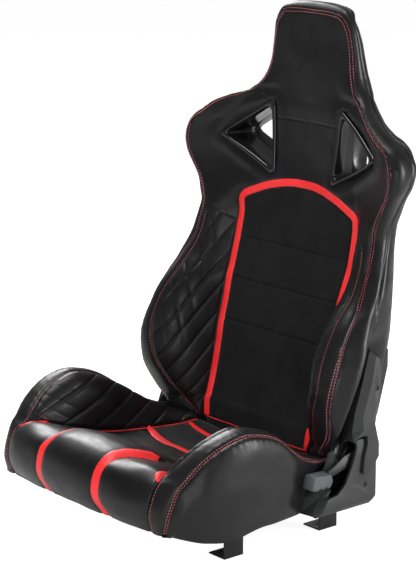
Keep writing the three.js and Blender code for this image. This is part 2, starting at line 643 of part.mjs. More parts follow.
// ---------------------------------------------------------------- rear panel
// Height, half width and the depths of the side edge, the corner, the shoulder and the middle of the panel.
const PANEL_STATIONS = [
  { z: 178, half: 258, edge: 498, corner: 527, shoulder: 532, rear: 533 },
  { z: 250, half: 262, edge: 516, corner: 545, shoulder: 550, rear: 551 },
  { z: 350, half: 266, edge: 540, corner: 569, shoulder: 574, rear: 575 },
  { z: 450, half: 266, edge: 566, corner: 595, shoulder: 600, rear: 601 },
  { z: 556, half: 254, edge: 590, corner: 616, shoulder: 623, rear: 625 },
  { z: 600, half: 262, edge: 588, corner: 604, shoulder: 620, rear: 632 },
  { z: 650, half: 275, edge: 570, corner: 584, shoulder: 610, rear: 640 },
  { z: 700, half: 246, edge: 586, corner: 600, shoulder: 622, rear: 645 },
  { z: 742, half: 182, edge: 612, corner: 624, shoulder: 640, rear: 649 },
  { z: 775, half: 128, edge: 621, corner: 636, shoulder: 648, rear: 652 },
  { z: 830, half: 111, edge: 621, corner: 642, shoulder: 654, rear: 655 },
  { z: 885, half: 105, edge: 621, corner: 640, shoulder: 652, rear: 654 },
  { z: 920, half: 76, edge: 621, corner: 632, shoulder: 639, rear: 640 },
];

function backPanel() {
  const cornerInset = 12;
  const ring = (s, inset, deeper) => {
    const half = s.half - inset;
    const sideEnd = s.edge + (s.corner - s.edge) * 0.6;
    const leftSide = [
      [half, s.edge - deeper, s.z], [half, sideEnd, s.z], [half - cornerInset, s.corner - inset, s.z],
      [half * 0.78, s.shoulder - inset, s.z], [half * 0.45, s.rear - inset, s.z],
    ];
    return [...leftSide, ...leftSide.map(([x, y, z]) => [-x, y, z]).reverse()];
  };
  const outer = loft(PANEL_STATIONS.map((s) => ring(s, 0, 0)));
  const hollowStations = PANEL_STATIONS.map((s, i, all) => {
    if (i === 0) return { ...s, z: s.z - 5 };
    if (i === all.length - 1) return { ...s, z: s.z - PANEL_WALL };
    return s;
  });
  const hollow = loft(hollowStations.map((s) => ring(s, PANEL_WALL, 60)));
  return cut(outer, hollow,
    slotTool(SLOT.wall + SLOT.lip + GAP, 400, 800),
    mirrored(slotTool(SLOT.wall + SLOT.lip + GAP, 400, 800)));
}

buildBase();
buildCushion();
recliners();
buildCovers();
buildRelease();
buildBackFrame();
buildBackFoam();
add('back_panel', backPanel(), blackLeather());

const part = new THREE.Group();
part.add(seat);

export default part;
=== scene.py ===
"""Looks of the reclining bucket racing seat: sewn covers, piping, stitching, hard parts, light and camera.

Shapes are laid out in millimetres in the seat's own layout: x from the centre plane (+ is the sitter's left),
y backwards from the front of the nose, z up from the floor. place() turns them into the frame's metres.
"""
import json
import math

import bmesh
import bpy
import numpy as np
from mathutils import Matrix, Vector
from mathutils.bvhtree import BVHTree
from mathutils.kdtree import KDTree


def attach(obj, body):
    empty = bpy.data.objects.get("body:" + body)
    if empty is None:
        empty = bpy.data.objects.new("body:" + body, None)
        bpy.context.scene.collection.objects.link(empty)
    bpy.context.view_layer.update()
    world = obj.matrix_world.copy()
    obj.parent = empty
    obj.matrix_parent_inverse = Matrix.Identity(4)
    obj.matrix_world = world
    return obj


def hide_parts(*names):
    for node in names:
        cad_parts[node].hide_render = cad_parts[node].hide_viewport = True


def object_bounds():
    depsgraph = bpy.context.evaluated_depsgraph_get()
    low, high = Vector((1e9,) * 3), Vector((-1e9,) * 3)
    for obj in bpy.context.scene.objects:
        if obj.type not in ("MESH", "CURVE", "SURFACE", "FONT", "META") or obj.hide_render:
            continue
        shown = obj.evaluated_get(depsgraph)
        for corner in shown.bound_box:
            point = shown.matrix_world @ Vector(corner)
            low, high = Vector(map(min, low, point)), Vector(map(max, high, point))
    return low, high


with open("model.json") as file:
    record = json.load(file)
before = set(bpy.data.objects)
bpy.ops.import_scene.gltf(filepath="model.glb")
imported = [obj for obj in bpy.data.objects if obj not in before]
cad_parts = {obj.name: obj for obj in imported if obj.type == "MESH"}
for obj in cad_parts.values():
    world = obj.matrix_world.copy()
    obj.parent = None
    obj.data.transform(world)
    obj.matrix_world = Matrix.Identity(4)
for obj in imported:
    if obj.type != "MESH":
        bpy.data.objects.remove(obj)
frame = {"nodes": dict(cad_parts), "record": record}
CAD_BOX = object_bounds()
NOSE_Y = CAD_BOX[0].y
MM = 0.001

# ---- driving sizes, millimetres
ROW_STEP = {"front": 2.1, "band": 4.0, "rear": 6.0, "cushion": 2.2}     # spacing of the rows of each cover
SKIN = 2.5                  # thickness of a sewn cover with its backing
DUST_SKIN = 1.2
SLOT = {"inner_x": 84, "low_z": 612, "high_z": 733, "apex_x": 203, "apex_z": 668}
SLOT_CORNER = 19            # length of a slot's edges taken up by each rounded corner
CORNER_SHARES = (0, 0.25, 0.5, 0.75, 1)     # where the points lie round such a corner
SLOT_COVER_GROW = 5.0       # the cover's hole is this much larger than the slot, under the bezel's lip
STITCH = {"length": 3.2, "pitch": 5.6, "radius": 0.5, "lift": 0.15, "sides": 6}
# One stitch from end to end, as shares of its length and radius.
STITCH_SHAPE = [(-0.5, 0.25), (-0.38, 0.8), (0.0, 1.0), (0.38, 0.8), (0.5, 0.25)]
DOUBLE_SEAM_GAP = 3.0       # each row of a double seam from the seam line
STRIP_WIDTH = 16.0
STRIP_RISE = 3.2
STRIP_POINTS = 11           # points across a strip
STRIP_BACKING = 0.6         # depth of a strip below its sunk edges
CORD_SIDES = 8
TRIM_SMOOTHING = 30         # passes that even out the normals under strips and cords
CORD_SMOOTHING = 12         # passes that even out the line of a cord
# Grooves that seams and trim press into the covers, as (depth, width).
SEAMS = {
    "crest": (3.2, 3.6), "inner": (2.8, 3.2), "side": (2.2, 3.0), "border": (1.5, 3.0), "insert": (2.3, 2.4),
    "thin": (1.0, 2.0), "rear_panel": (1.8, 3.6), "rear_cross": (1.6, 4.0), "cushion_crest": (3.4, 3.8),
    "cushion_inner": (2.8, 3.4), "pan_edge": (3.0, 4.0), "strip": (2.2, 5.0), "nose_strip": (1.6, 4.0),
    "band": (2.0, 5.0), "slot": (2.0, 6.0),
}
# Gathers beside seams: pitch, depth, how far they reach from the seam, seed.
PUCKERS = {"crest": (16, 0.3, 9, 3), "side": (21, 0.2, 9, 9), "cushion": (15, 0.4, 12, 31)}


def place(points):
    """Layout millimetres to frame metres."""
    out = np.asarray(points, float) * MM
    out[..., 1] += NOSE_Y
    return out


def mirror(points):
    return np.asarray(points, float) * (-1, 1, 1)


# ---- curves
def hermite(keys, values, at):
    """Smooth curve through values at rising keys."""
    keys = np.asarray(keys, float)
    values = np.asarray(values, float)
    at = np.asarray(at, float)
    width = np.diff(keys)
    slope = np.diff(values, axis=0) / width[:, None]
    tangent = np.empty_like(values)
    tangent[0] = slope[0]
    tangent[-1] = slope[-1]
    total = (width[:-1] + width[1:])[:, None]
    tangent[1:-1] = (slope[:-1] * width[1:, None] + slope[1:] * width[:-1, None]) / total
    i = np.clip(np.searchsorted(keys, at, side="right") - 1, 0, len(keys) - 2)
    h = width[i][:, None]
    s = ((at - keys[i]) / width[i])[:, None]
    return ((2 * s**3 - 3 * s**2 + 1) * values[i] + (s**3 - 2 * s**2 + s) * h * tangent[i]
            + (3 * s**2 - 2 * s**3) * values[i + 1] + (s**3 - s**2) * h * tangent[i + 1])


def lengths(points):
    """Distance of each point from the first, along the line."""
    steps = np.linalg.norm(np.diff(points, axis=0), axis=1)
    return np.concatenate([[0], np.cumsum(np.maximum(steps, 1e-6))])


def sample(at, keys, values):
    """Rows of values between their keys."""
    return np.stack([np.interp(at, keys, values[:, k]) for k in range(values.shape[1])], axis=1)


def curve(points, step):
    """Points every step along a smooth curve through the given ones."""
    points = np.asarray(points, float)
    keys = lengths(points)
    fine = hermite(keys, points, np.linspace(0, keys[-1], 12 * len(points)))
    run = lengths(fine)
    count = max(2, int(round(run[-1] / step)) + 1)
    return sample(np.linspace(0, run[-1], count), run, fine)


def smoothed(points, passes):
    """An open line after some passes of averaging, its ends kept."""
    points = points.copy()
    for _ in range(passes):
        points[1:-1] = (points[:-2] + 2 * points[1:-1] + points[2:]) / 4
    return points


def unit(vectors):
    return vectors / np.maximum(np.linalg.norm(vectors, axis=-1, keepdims=True), 1e-9)


def weave(columns, row_keys, row_count, groups):
    """Grid of points: columns are feature lines given at stations, groups say how they are joined sideways.

    A group is (first column, last column, cells in each gap). Lines inside a group are joined smoothly, and
    two groups meet at a crease. Returns the grid and the index of every feature line in it.
    """
    at = np.linspace(row_keys[0], row_keys[-1], row_count)
    lines = np.stack([hermite(row_keys, column, at) for column in columns], axis=1)
    strips = []
    marks = {0: 0}
    for first, last, cells in groups:
        rows = []
        for row in lines[:, first:last + 1]:
            keys = lengths(row)
            wanted = [0.0]
            for gap, count in enumerate(cells):
                wanted += list(np.linspace(keys[gap], keys[gap + 1], count + 1)[1:])
            rows.append(hermite(keys, row, np.array(wanted)))
        for gap, count in enumerate(cells):
            marks[first + gap + 1] = marks[first + gap] + count
        rows = np.stack(rows)
        strips.append(rows[:, 1:] if strips else rows)
    return np.concatenate(strips, axis=1), marks


def both_halves(grid):
    """Full width from the half with x rising from the centre plane."""
    return np.concatenate([mirror(grid[:, :0:-1]), grid], axis=1)


def grid_normals(grid, inside):
    """Unit normals of a grid, turned to point away from the given inside point."""
    normals = unit(np.cross(np.gradient(grid, axis=0), np.gradient(grid, axis=1)))
    return -normals if np.sum(normals * (grid - np.asarray(inside, float))) < 0 else normals


def raised(grid, rise, inside):
    """A grid moved out along its normals, with its new normals."""
    grid = grid + grid_normals(grid, inside) * rise[..., None]
    return grid, grid_normals(grid, inside)


def raised_whole(half, rise, inside, uneven=None):
    """Both halves raised alike; uneven is (wave size, seed) of a slight difference between the two sides."""
    full = both_halves(half)
    rise = np.concatenate([rise[:, :0:-1], rise], axis=1)
    if uneven:
        rise = rise + 0.5 * ripple(full, *uneven) * smooth_step(np.abs(full[..., 0]), 10, 60)
    return raised(full, rise, inside)


# ---- fields that shape the covers
def tree_of(points):
    tree = KDTree(len(points))
    for i, point in enumerate(points):
        tree.insert(point, i)
    tree.balance()
    return tree


def distance_to(points, lines):
    """Distance from each point to the nearest of some dense lines of points."""
    tree = tree_of(np.concatenate(lines))
    return np.array([tree.find(p)[2] for p in points.reshape(-1, 3)]).reshape(points.shape[:-1])


def groove(distance, depth, width):
    return -depth * np.exp(-((distance / width) ** 2))


def seam(distance, kind):
    return groove(distance, *SEAMS[kind])


def smooth_step(value, low, high):
    """Fades from 0 to 1 while the value goes from low to high."""
    t = np.clip((value - low) / (high - low), 0, 1)
    return t * t * (3 - 2 * t)


def hump(share):
    """Rises from 0 to 1 half way and falls back."""
    return np.sin(math.pi * np.clip(share, 0, 1))


def ripple(points, scale, seed):
    """Smooth random field from a few sine waves, about -1 to 1."""
    rng = np.random.default_rng(seed)
    total = np.zeros(points.shape[:-1])
    waves = 7
    for _ in range(waves):
        direction = rng.normal(size=3)
        direction /= np.linalg.norm(direction)
        phase = rng.uniform(0, 2 * math.pi)
        total += np.sin(points @ direction * (2 * math.pi / scale) * rng.uniform(0.7, 1.4) + phase)
    return total / math.sqrt(waves)


def rumple(points, seed):
    """Unevenness of leather over foam: long waves and faint short ones."""
    return 0.6 * ripple(points, 130, seed) + 0.2 * ripple(points, 50, seed + 1)


def puckers(run, distance, pitch, depth, reach, seed):
    """Short gathers across a seam that fade with distance from it."""
    rng = np.random.default_rng(seed)
    phase = 2 * math.pi * run / pitch + 1.9 * np.sin(run / (pitch * 2.7) + rng.uniform(0, 6)) \
        + 1.3 * np.sin(run / (pitch * 1.3) + rng.uniform(0, 6))
    strength = 0.6 + 0.4 * np.sin(run / (pitch * 4.1) + rng.uniform(0, 6))
    return depth * strength * np.sin(phase) * np.exp(-((distance / reach) ** 2))


def runs(grid, column):
    """Distance along every row from one column, and along that column."""
    steps = np.linalg.norm(np.diff(grid, axis=1), axis=2)
    along_rows = np.concatenate([np.zeros((len(grid), 1)), np.cumsum(steps, axis=1)], axis=1)
    s = along_rows - along_rows[:, column:column + 1]
    t = lengths(grid[:, column])[:, None] + np.zeros_like(s)
    return s, t


# Quilting: angle and spacing of the strong and the faint seams, their depths and width, height of the pads.
BACK_QUILT = {"strong_angle": 54, "strong_pitch": 34, "cross_angle": 70, "cross_pitch": 30, "strong": 1.7,
              "cross": 1.1, "width": 1.8, "pad": 1.3}
CUSHION_QUILT = {**BACK_QUILT, "strong_angle": 58, "cross_angle": 60, "cross": 0.7}


def quilt_height(s, t, quilt, cross_share):
    """Sewn diamonds: s runs sideways from the insert, t runs along it; cross_share fades the faint seams."""
    def seam_distance(coordinate, pitch):
        return np.abs((coordinate / pitch + 0.5) % 1 - 0.5) * pitch

    def pad(distance, pitch):
        return np.sin(math.pi * distance / pitch) ** 0.4

    strong = math.radians(quilt["strong_angle"])
    cross = math.radians(quilt["cross_angle"])
    d_strong = seam_distance(s * math.sin(strong) + t * math.cos(strong), quilt["strong_pitch"])
    d_cross = seam_distance(s * math.sin(cross) - t * math.cos(cross), quilt["cross_pitch"])
    cross_pad = 1 - cross_share + cross_share * pad(d_cross, quilt["cross_pitch"])
    crown = pad(d_strong, quilt["strong_pitch"]) * cross_pad
    return quilt["pad"] * crown + groove(d_strong, quilt["strong"], quilt["width"]) \
        + cross_share * groove(d_cross, quilt["cross"], quilt["width"])


# ---- meshes
def mesh_piece(name, points, faces, body, look):
    """A mesh object in the frame that rides on a body; points are in layout millimetres."""
    mesh = bpy.data.meshes.new(name)
    mesh.from_pydata(place(points).tolist(), [], [list(map(int, f)) for f in faces])
    mesh.materials.append(LOOKS[look])
    mesh.polygons.foreach_set("use_smooth", [True] * len(mesh.polygons))
    mesh.update()
    piece = bpy.data.objects.new(name, mesh)
    bpy.context.scene.collection.objects.link(piece)
    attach(piece, body)
    return piece


def grid_faces(rows, cols, keep=None):
    """Quads of a grid, or of its cells to keep."""
    corner = np.arange((rows - 1) * cols).reshape(rows - 1, cols)[:, :-1]
    corner = corner.ravel() if keep is None else corner[keep]
    return np.stack([corner, corner + 1, corner + cols + 1, corner + cols], axis=1)


def turned_out(faces, points, normals):
    """Quads turned to face along the normals."""
    a, b, c = (points[faces[:, k]] for k in (0, 1, 2))
    return faces[:, ::-1] if np.sum(np.cross(b - a, c - a) * normals[faces[:, 0]]) < 0 else faces


def skin(grid, normals, keep=None, thickness=SKIN):
    """A closed cover: the shaped outside, the same surface set inwards, and a rim that joins them."""
    outer = grid.reshape(-1, 3)
    normals = normals.reshape(-1, 3)
    front = turned_out(grid_faces(*grid.shape[:2], keep), outer, normals)
    used, front = np.unique(front, return_inverse=True)
    front = front.reshape(-1, 4).tolist()
    outer = outer[used]
    inner = outer - normals[used] * thickness
    count = len(outer)
    edges = {(f[k], f[(k + 1) % 4]): True for f in front for k in range(4)}
    rim = [(b, a, a + count, b + count) for a, b in edges if (b, a) not in edges]
    back = [[i + count for i in f[::-1]] for f in front]
    return np.concatenate([outer, inner]), [*front, *back, *rim]


def surface_of(*sheets):
    """A tree to find the nearest outer point and normal on some sheets of (grid, normals)."""
    points = []
    faces = []
    for grid, normals in sheets:
        flat = grid.reshape(-1, 3)
        sheet_faces = turned_out(grid_faces(*grid.shape[:2]), flat, normals.reshape(-1, 3))
        faces += (sheet_faces + len(points)).tolist()
        points += flat.tolist()
    return BVHTree.FromPolygons(points, faces)


def tube_faces(rows, cols):
    """Faces of rings of cols points each, with both ends closed."""
    faces = []
    for r in range(rows - 1):
        for c in range(cols):
            d = (c + 1) % cols
            faces.append((r * cols + c, r * cols + d, (r + 1) * cols + d, (r + 1) * cols + c))
    faces.append(tuple(range(cols))[::-1])
    faces.append(tuple(range((rows - 1) * cols, rows * cols)))
    return faces


def settle(tree, spot, up):
    """Point of a surface straight under a spot."""
    reach = 8.0
    hit, _, _, _ = tree.ray_cast(Vector(spot + up * reach), Vector(-up), 2 * reach)
    if hit is None:
        hit, _, _, _ = tree.find_nearest(Vector(spot))
    return np.array(hit)


def frames_along(path, tree, passes=6):
    """Surface point, outward normal and sideways direction at each point of a path laid on a surface."""
    found = [tree.find_nearest(Vector(p)) for p in path]
    points = np.array([[*hit] for hit, _, _, _ in found])
    ups = unit(smoothed(np.array([[*normal] for _, normal, _, _ in found]), passes))
    side = unit(np.cross(unit(np.gradient(points, axis=0)), ups))
    return points, ups, side


def strip_on(tree, path, widths, rise, sink=1.2):
    """Puffed strip lying on a surface: rings of points, crowned in the middle with its edges sunk in."""
    rings = []
    for point, up, side, width in zip(*frames_along(path, tree, TRIM_SMOOTHING), widths):
        top = []
        bottom = []
        for share in np.linspace(-1, 1, STRIP_POINTS):
            hit = settle(tree, point + side * (share * width / 2), up)
            crown = max(0.0, 1 - abs(share) ** 2.6) ** 0.5
            top.append(hit + up * (crown * (rise + sink) - sink))
            bottom.append(hit - up * (sink + STRIP_BACKING))
        rings.append(top + bottom[::-1])
    rings = np.array(rings)
    return rings.reshape(-1, 3), tube_faces(len(rings), rings.shape[1])


def cord_on(tree, path, radius, lift):
    """Round piping along a path on a surface."""
    points, ups, side = frames_along(path, tree, TRIM_SMOOTHING)
    points = smoothed(points, CORD_SMOOTHING)
    angles = np.arange(CORD_SIDES)[None, :, None] * 2 * math.pi / CORD_SIDES
    upward = ups[:, None] * (lift + np.sin(angles) * radius)
    rings = points[:, None] + upward + side[:, None] * np.cos(angles) * radius
    return rings.reshape(-1, 3), tube_faces(len(rings), CORD_SIDES)


def stitches(tree, path, offset=0.0):
    """Separate stitches along a path laid on a surface, offset sideways, as one list of points and faces."""
    points, ups, side = frames_along(curve(path, 1.0), tree)
    line = points + side * offset
    run = lengths(line)
    sides = STITCH["sides"]
    out_points = []
    out_faces = []
    start = STITCH["pitch"]
    while start < run[-1] - STITCH["pitch"]:
        at = [start + share * STITCH["length"] for share, _ in STITCH_SHAPE]
        first = len(out_points)
        for values, (_, size) in zip(sample(at, run, np.hstack([line, ups, side])), STITCH_SHAPE):
            centre, up, sideways = values.reshape(3, 3)
            hit, _, _, _ = tree.find_nearest(Vector(centre))
            base = np.array(hit) + up * STITCH["lift"]
            for k in range(sides):
                angle = 2 * math.pi * k / sides
                outward = up * math.sin(angle) + sideways * math.cos(angle)
                out_points.append(base + outward * STITCH["radius"] * size)
        out_faces += [[first + i for i in f] for f in tube_faces(len(STITCH_SHAPE), sides)]
        start += STITCH["pitch"]
    return out_points, out_faces


def gather(parts):
    """One list of points and faces from several."""
    points = []
    faces = []
    for part_points, part_faces in parts:
        faces += [[len(points) + i for i in f] for f in part_faces]
        points += list(part_points)
    return np.array(points), faces


# ---- materials
def principled(name, color, roughness, metallic=0.0):
    material = bpy.data.materials.new(name)
    material.use_nodes = True
    shader = material.node_tree.nodes["Principled BSDF"]
    shader.inputs["Base Color"].default_value = (*color, 1)
    shader.inputs["Roughness"].default_value = roughness
    shader.inputs["Metallic"].default_value = metallic
    return material, material.node_tree, shader


def texture(tree, kind, scale, **settings):
    """A 3-D texture in object metres."""
    coordinates = tree.nodes.get("Texture Coordinate") or tree.nodes.new("ShaderNodeTexCoord")
    node = tree.nodes.new(kind)
    tree.links.new(coordinates.outputs["Object"], node.inputs["Vector"])
    node.inputs["Scale"].default_value = scale
    for key, value in settings.items():
        node.inputs[key.replace("_", " ")].default_value = value
    return node


def noise(tree, scale, **settings):
    return texture(tree, "ShaderNodeTexNoise", scale, **settings).outputs["Fac"]


def tint(tree, shader, source, low, high, dark, light):
    """Base colour that follows a value, through the vector sockets of a range node."""
    node = tree.nodes.new("ShaderNodeMapRange")
    node.data_type = "FLOAT_VECTOR"
    for socket, value in ((7, (low,) * 3), (8, (high,) * 3), (9, dark), (10, light)):
        node.inputs[socket].default_value = value
    tree.links.new(source, node.inputs[6])
    tree.links.new(node.outputs[1], shader.inputs["Base Color"])


def range_between(tree, source, low, high, to_low, to_high):
    node = tree.nodes.new("ShaderNodeMapRange")
    for socket, value in (("From Min", low), ("From Max", high), ("To Min", to_low), ("To Max", to_high)):
        node.inputs[socket].default_value = value
    tree.links.new(source, node.inputs["Value"])
    return node.outputs["Result"]


def gloss(tree, shader, source, rough_low, rough_high):
    """Roughness that follows a value."""
    tree.links.new(range_between(tree, source, 0.3, 0.7, rough_low, rough_high), shader.inputs["Roughness"])


def bump(tree, shader, layers):
    """Stacked bumps: (height socket, distance in metres, strength)."""
    target = shader.inputs["Normal"]
    for height, distance, strength in layers[::-1]:
        node = tree.nodes.new("ShaderNodeBump")
        node.inputs["Distance"].default_value = distance
        node.inputs["Strength"].default_value = strength
        tree.links.new(height, node.inputs["Height"])
        tree.links.new(node.outputs["Normal"], target)
        target = node.inputs["Normal"]


def leather(name, dark, light, rough_low, rough_high, specular, coat):
    """Smooth upholstery leather: pebble grain, fine pores, faint uneven colour and gloss."""
    material, tree, shader = principled(name, dark, rough_low)
    patches = noise(tree, 14, Detail=4, Roughness=0.6)
    grain = texture(tree, "ShaderNodeTexVoronoi", 900).outputs["Distance"]
    pores = noise(tree, 1900, Detail=2)
    creases = noise(tree, 70, Detail=6, Roughness=0.55)
    tint(tree, shader, patches, 0.35, 0.65, dark, light)
    gloss(tree, shader, creases, rough_low, rough_high)
    shader.inputs["Specular IOR Level"].default_value = specular
    shader.inputs["Coat Weight"].default_value = coat
    shader.inputs["Coat Roughness"].default_value = 0.22
    bump(tree, shader, [(creases, 0.0012, 0.25), (grain, 0.00018, 0.5), (pores, 0.0001, 0.35)])
    return material


def napped_fabric(name, dark, light):
    """Matte suede-like cloth with a short nap and a fine ribbed ground."""
    material, tree, shader = principled(name, dark, 0.93)
    nap = noise(tree, 1300, Detail=3)
    brushed = noise(tree, 22, Detail=5, Roughness=0.6)
    ribs = texture(tree, "ShaderNodeTexWave", 420, Distortion=0.6).outputs["Fac"]
    tint(tree, shader, brushed, 0.3, 0.7, dark, light)
    shader.inputs["Sheen Weight"].default_value = 0.06
    shader.inputs["Sheen Roughness"].default_value = 0.5
    shader.inputs["Specular IOR Level"].default_value = 0.15
    bump(tree, shader, [(ribs, 0.0002, 0.35), (nap, 0.0003, 0.6)])
    return material


def moulded_plastic(name, dark, light, rough_low, rough_high, texture_depth):
    """Injection-moulded plastic with a fine spark texture and handling wear in the gloss."""
    material, tree, shader = principled(name, dark, rough_low)
    spark = noise(tree, 1500, Detail=2)
    wear = noise(tree, 18, Detail=5, Roughness=0.65)
    tint(tree, shader, wear, 0.3, 0.7, dark, light)
    gloss(tree, shader, wear, rough_low, rough_high)
    bump(tree, shader, [(spark, texture_depth, 0.5)])
    return material


def coated_steel(name, dark, light, rough_low, rough_high, metallic):
    """Steel with a thin finish: slight orange peel and rubbed patches."""
    material, tree, shader = principled(name, dark, rough_low, metallic)
    peel = noise(tree, 700, Detail=2)
    rubbed = noise(tree, 30, Detail=7, Roughness=0.7)
    tint(tree, shader, rubbed, 0.35, 0.7, dark, light)
    gloss(tree, shader, rubbed, rough_low, rough_high)
    bump(tree, shader, [(peel, 0.00015, 0.4)])
    return material


def thread(name, dark, light):
    """Twisted sewing thread."""
    material, tree, shader = principled(name, dark, 0.55)
    twist = texture(tree, "ShaderNodeTexWave", 700, Distortion=1.5).outputs["Fac"]
    tint(tree, shader, twist, 0.2, 0.8, dark, light)
    shader.inputs["Sheen Weight"].default_value = 0.2
    bump(tree, shader, [(twist, 0.0002, 0.5)])
    return material


# Each look by name: the function that makes it, its dark and light colour, and what else that asks for.
LOOKS = {name: make(name, *settings) for name, make, *settings in (
    ("leather_black", leather, (0.004, 0.004, 0.0045), (0.007, 0.007, 0.008), 0.33, 0.45, 0.3, 0.10),
    ("leather_red", leather, (0.66, 0.016, 0.018), (0.76, 0.030, 0.032), 0.40, 0.52, 0.35, 0.08),
    ("suede_black", napped_fabric, (0.004, 0.004, 0.0045), (0.0075, 0.0075, 0.008)),
    ("thread_red", thread, (0.52, 0.06, 0.08), (0.84, 0.22, 0.24)),
    ("plastic_black", moulded_plastic, (0.012, 0.0125, 0.013), (0.019, 0.0195, 0.021), 0.38, 0.5, 0.0002),
    ("plastic_gloss", moulded_plastic, (0.006, 0.006, 0.006), (0.010, 0.010, 0.011), 0.12, 0.2, 0.00002),
    ("plastic_grey", moulded_plastic, (0.060, 0.062, 0.066), (0.085, 0.088, 0.092), 0.4, 0.52, 0.0002),
    ("steel_black", coated_steel, (0.010, 0.010, 0.011), (0.018, 0.018, 0.019), 0.3, 0.45, 0.3),
    ("steel_zinc", coated_steel, (0.38, 0.39, 0.41), (0.52, 0.53, 0.55), 0.28, 0.42, 1.0),
    ("spring_steel", coated_steel, (0.14, 0.145, 0.155), (0.22, 0.225, 0.235), 0.3, 0.45, 1.0),
)}


# ---- backrest shape
# One row per height: z, depth of the face, then x and depth of the insert edge, inner crest seam, outer crest
# seam, widest point, side seam, rear side, rear corner and shoulder, and last the depth of the rear middle. A
# row with bends has each of those points in brackets, with a height of its own where it leaves the row.
BACK_ROWS = [
    (112, 449, (149, 449), (161, 444, 116), (216, 414, 142), (222, 418, 143), (222, 430, 144),
     (222, 490, 146), (216, 513, 147), (170, 526, 148), 528),
    (134, 445, (150, 445), (163, 437, 138), (219, 409, 151), (226, 415, 151), (224, 428, 152),
     (224, 492, 153), (218, 517, 154), (170, 529, 154), 530),
    (160, 447, 153, 447, 184, 428, 224, 407, 232, 413, 226, 426, 226, 492, 220, 518, 170, 530, 531),
    (176, 454, 155, 454, 191, 415, 240, 402, 246, 410, 228, 424, 248, 500, 238, 518, 196, 532, 535),
    (205, 465, 156, 465, 207, 397, 257, 393, 270, 408, 238, 424, 253, 502, 240, 524, 200, 540, 543),
    (228, 471, 157, 471, 218, 387, 264, 385, 280, 406, 246, 429, 255, 508, 242, 530, 202, 546, 549),
    (250, 476, 157, 476, 226, 381, 267, 382, 286, 412, 248, 436, 256, 513, 243, 535, 204, 552, 553),
    (286, 483, 158, 483, 236, 381, 272, 385, 290, 427, 248, 449, 257, 520, 244, 542, 204, 559, 561),
    (325, 492, 159, 492, 238, 389, 271, 399, 290, 444, 250, 463, 258, 528, 243, 550, 202, 566, 571),
    (344, 497, 160, 497, 237, 397, 268, 409, 288, 452, 260, 468, 259, 531, 243, 554, 201, 570, 575),
    (363, 502, 160, 502, 236, 407, 266, 418, 285, 458, 272, 476, 260, 533, 242, 558, 200, 574, 580),
    (384, 507, 160, 507, 234, 422, 263, 432, 281, 464, 275, 484, 260, 535, 240, 561, 198, 579, 585),
    (401, 512, 160, 511, 231, 437, 260, 446, 277, 469, 274, 488, 259, 538, 237, 564, 195, 584, 590),
    (420, 519, 162, 519, 229, 455, 254, 463, 270, 478, 272, 492, 257, 541, 234, 568, 192, 589, 595),
    (439, 526, 163, 526, 226, 472, 248, 476, 264, 486, 270, 498, 255, 544, 231, 572, 190, 593, 599),
    (458, 532, 164, 532, 222, 485, 242, 489, 260, 497, 266, 506, 253, 547, 228, 576, 188, 598, 604),
    (477, 537, 165, 537, 220, 495, 239, 500, 257, 507, 261, 516, 250, 550, 225, 580, 185, 602, 608),
    (497, 542, 165, 541, 218, 501, 238, 506, 254, 513, 257, 524, 248, 553, 223, 583, 182, 607, 612),
    (516, 546, 166, 545, 215, 505, 237, 512, 252, 519, 254, 532, 247, 556, 221, 586, 179, 611, 617),
    (535, 550, 166, 547, 213, 509, 235, 515, 250, 523, 252, 537, 246, 560, 219, 589, 177, 615, 622),
    (555, 554, 162, 548, 212, 516, 239, 515, 252, 521, 253, 540, 247, 563, 219, 592, 177, 619, 626),
    (576, 560, 152, 549, 208, 528, 248, 515, 258, 522, 258, 547, 252, 567, 223, 594, 180, 623, 630),
    (605, 567, 142, 557, 206, 538, 265, 512, 274, 520, 271, 552, 264, 569, 238, 592, 190, 625, 634),
    (626, 571, 135, 561, 206, 541, 277, 510, 286, 519, 280, 558, 275, 572, 254, 591, 200, 624, 637),
    (645, 573, 130, 563, 206, 542, 281, 509, 291, 519, 286, 560, 280, 574, 261, 591, 203, 624, 639),
    (666, 574, 127, 564, 205, 543, 279, 509, 290, 520, 285, 563, 279, 576, 260, 592, 203, 625, 641),
    (691, 575, 124, 565, 200, 546, 268, 511, 278, 526, 270, 562, 262, 575, 244, 593, 190, 628, 644),
    (712, 575, (118, 567), (180, 551), (238, 514), (245, 532, 713), (238, 562, 709), (230, 575, 705),
     (216, 590, 701), (170, 628, 701), 646),
    (733, 574, (108, 569), (162, 555), (208, 523), (213, 542), (206, 569, 725), (200, 581, 721),
     (189, 595, 717), (150, 625, 717), 648),
    (747, 574, (96, 571), (142, 563), (181, 540), (185, 560, 746), (179, 582, 738), (174, 593, 734),
     (164, 607, 730), (128, 630, 732), 649),
    (762, 573, (82, 573), (115, 571), (149, 563), (154, 578, 761), (151, 596, 754), (146, 606, 752),
     (138, 618, 749), (106, 637, 750), 650),
    (775, 573, (76, 573), (104, 570), (131, 568), (138, 584), (136, 601, 770), (132, 612, 768),
     (122, 624, 766), (98, 640, 768), 651),
    (790, 573, 70, 573, 97, 572, 121, 573, 128, 588, 127, 603, 122, 613, 110, 626, 88, 642, 652),
    (812, 574, 66, 574, 92, 575, 112, 577, 119, 590, 118, 602, 113, 613, 101, 627, 80, 640, 654),
    (840, 575, 63, 576, 87, 577, 107, 579, 114, 590, 112, 600, 107, 610, 95, 625, 76, 637, 655),
    (870, 576, 60, 577, 83, 578, 102, 579, 109, 588, 107, 598, 102, 607, 90, 622, 72, 634, 654),
    (893, 577, 56, 577, 78, 578, 95, 578, 103, 586, 102, 594, 97, 603, 85, 617, 66, 631, 651),
    (905, 577, (50, 577, 909), (71, 578, 907), (87, 578, 903), (95, 585, 908), (94, 594, 909),
     (90, 604, 906), (78, 617, 900), (56, 632, 904), 644),
]
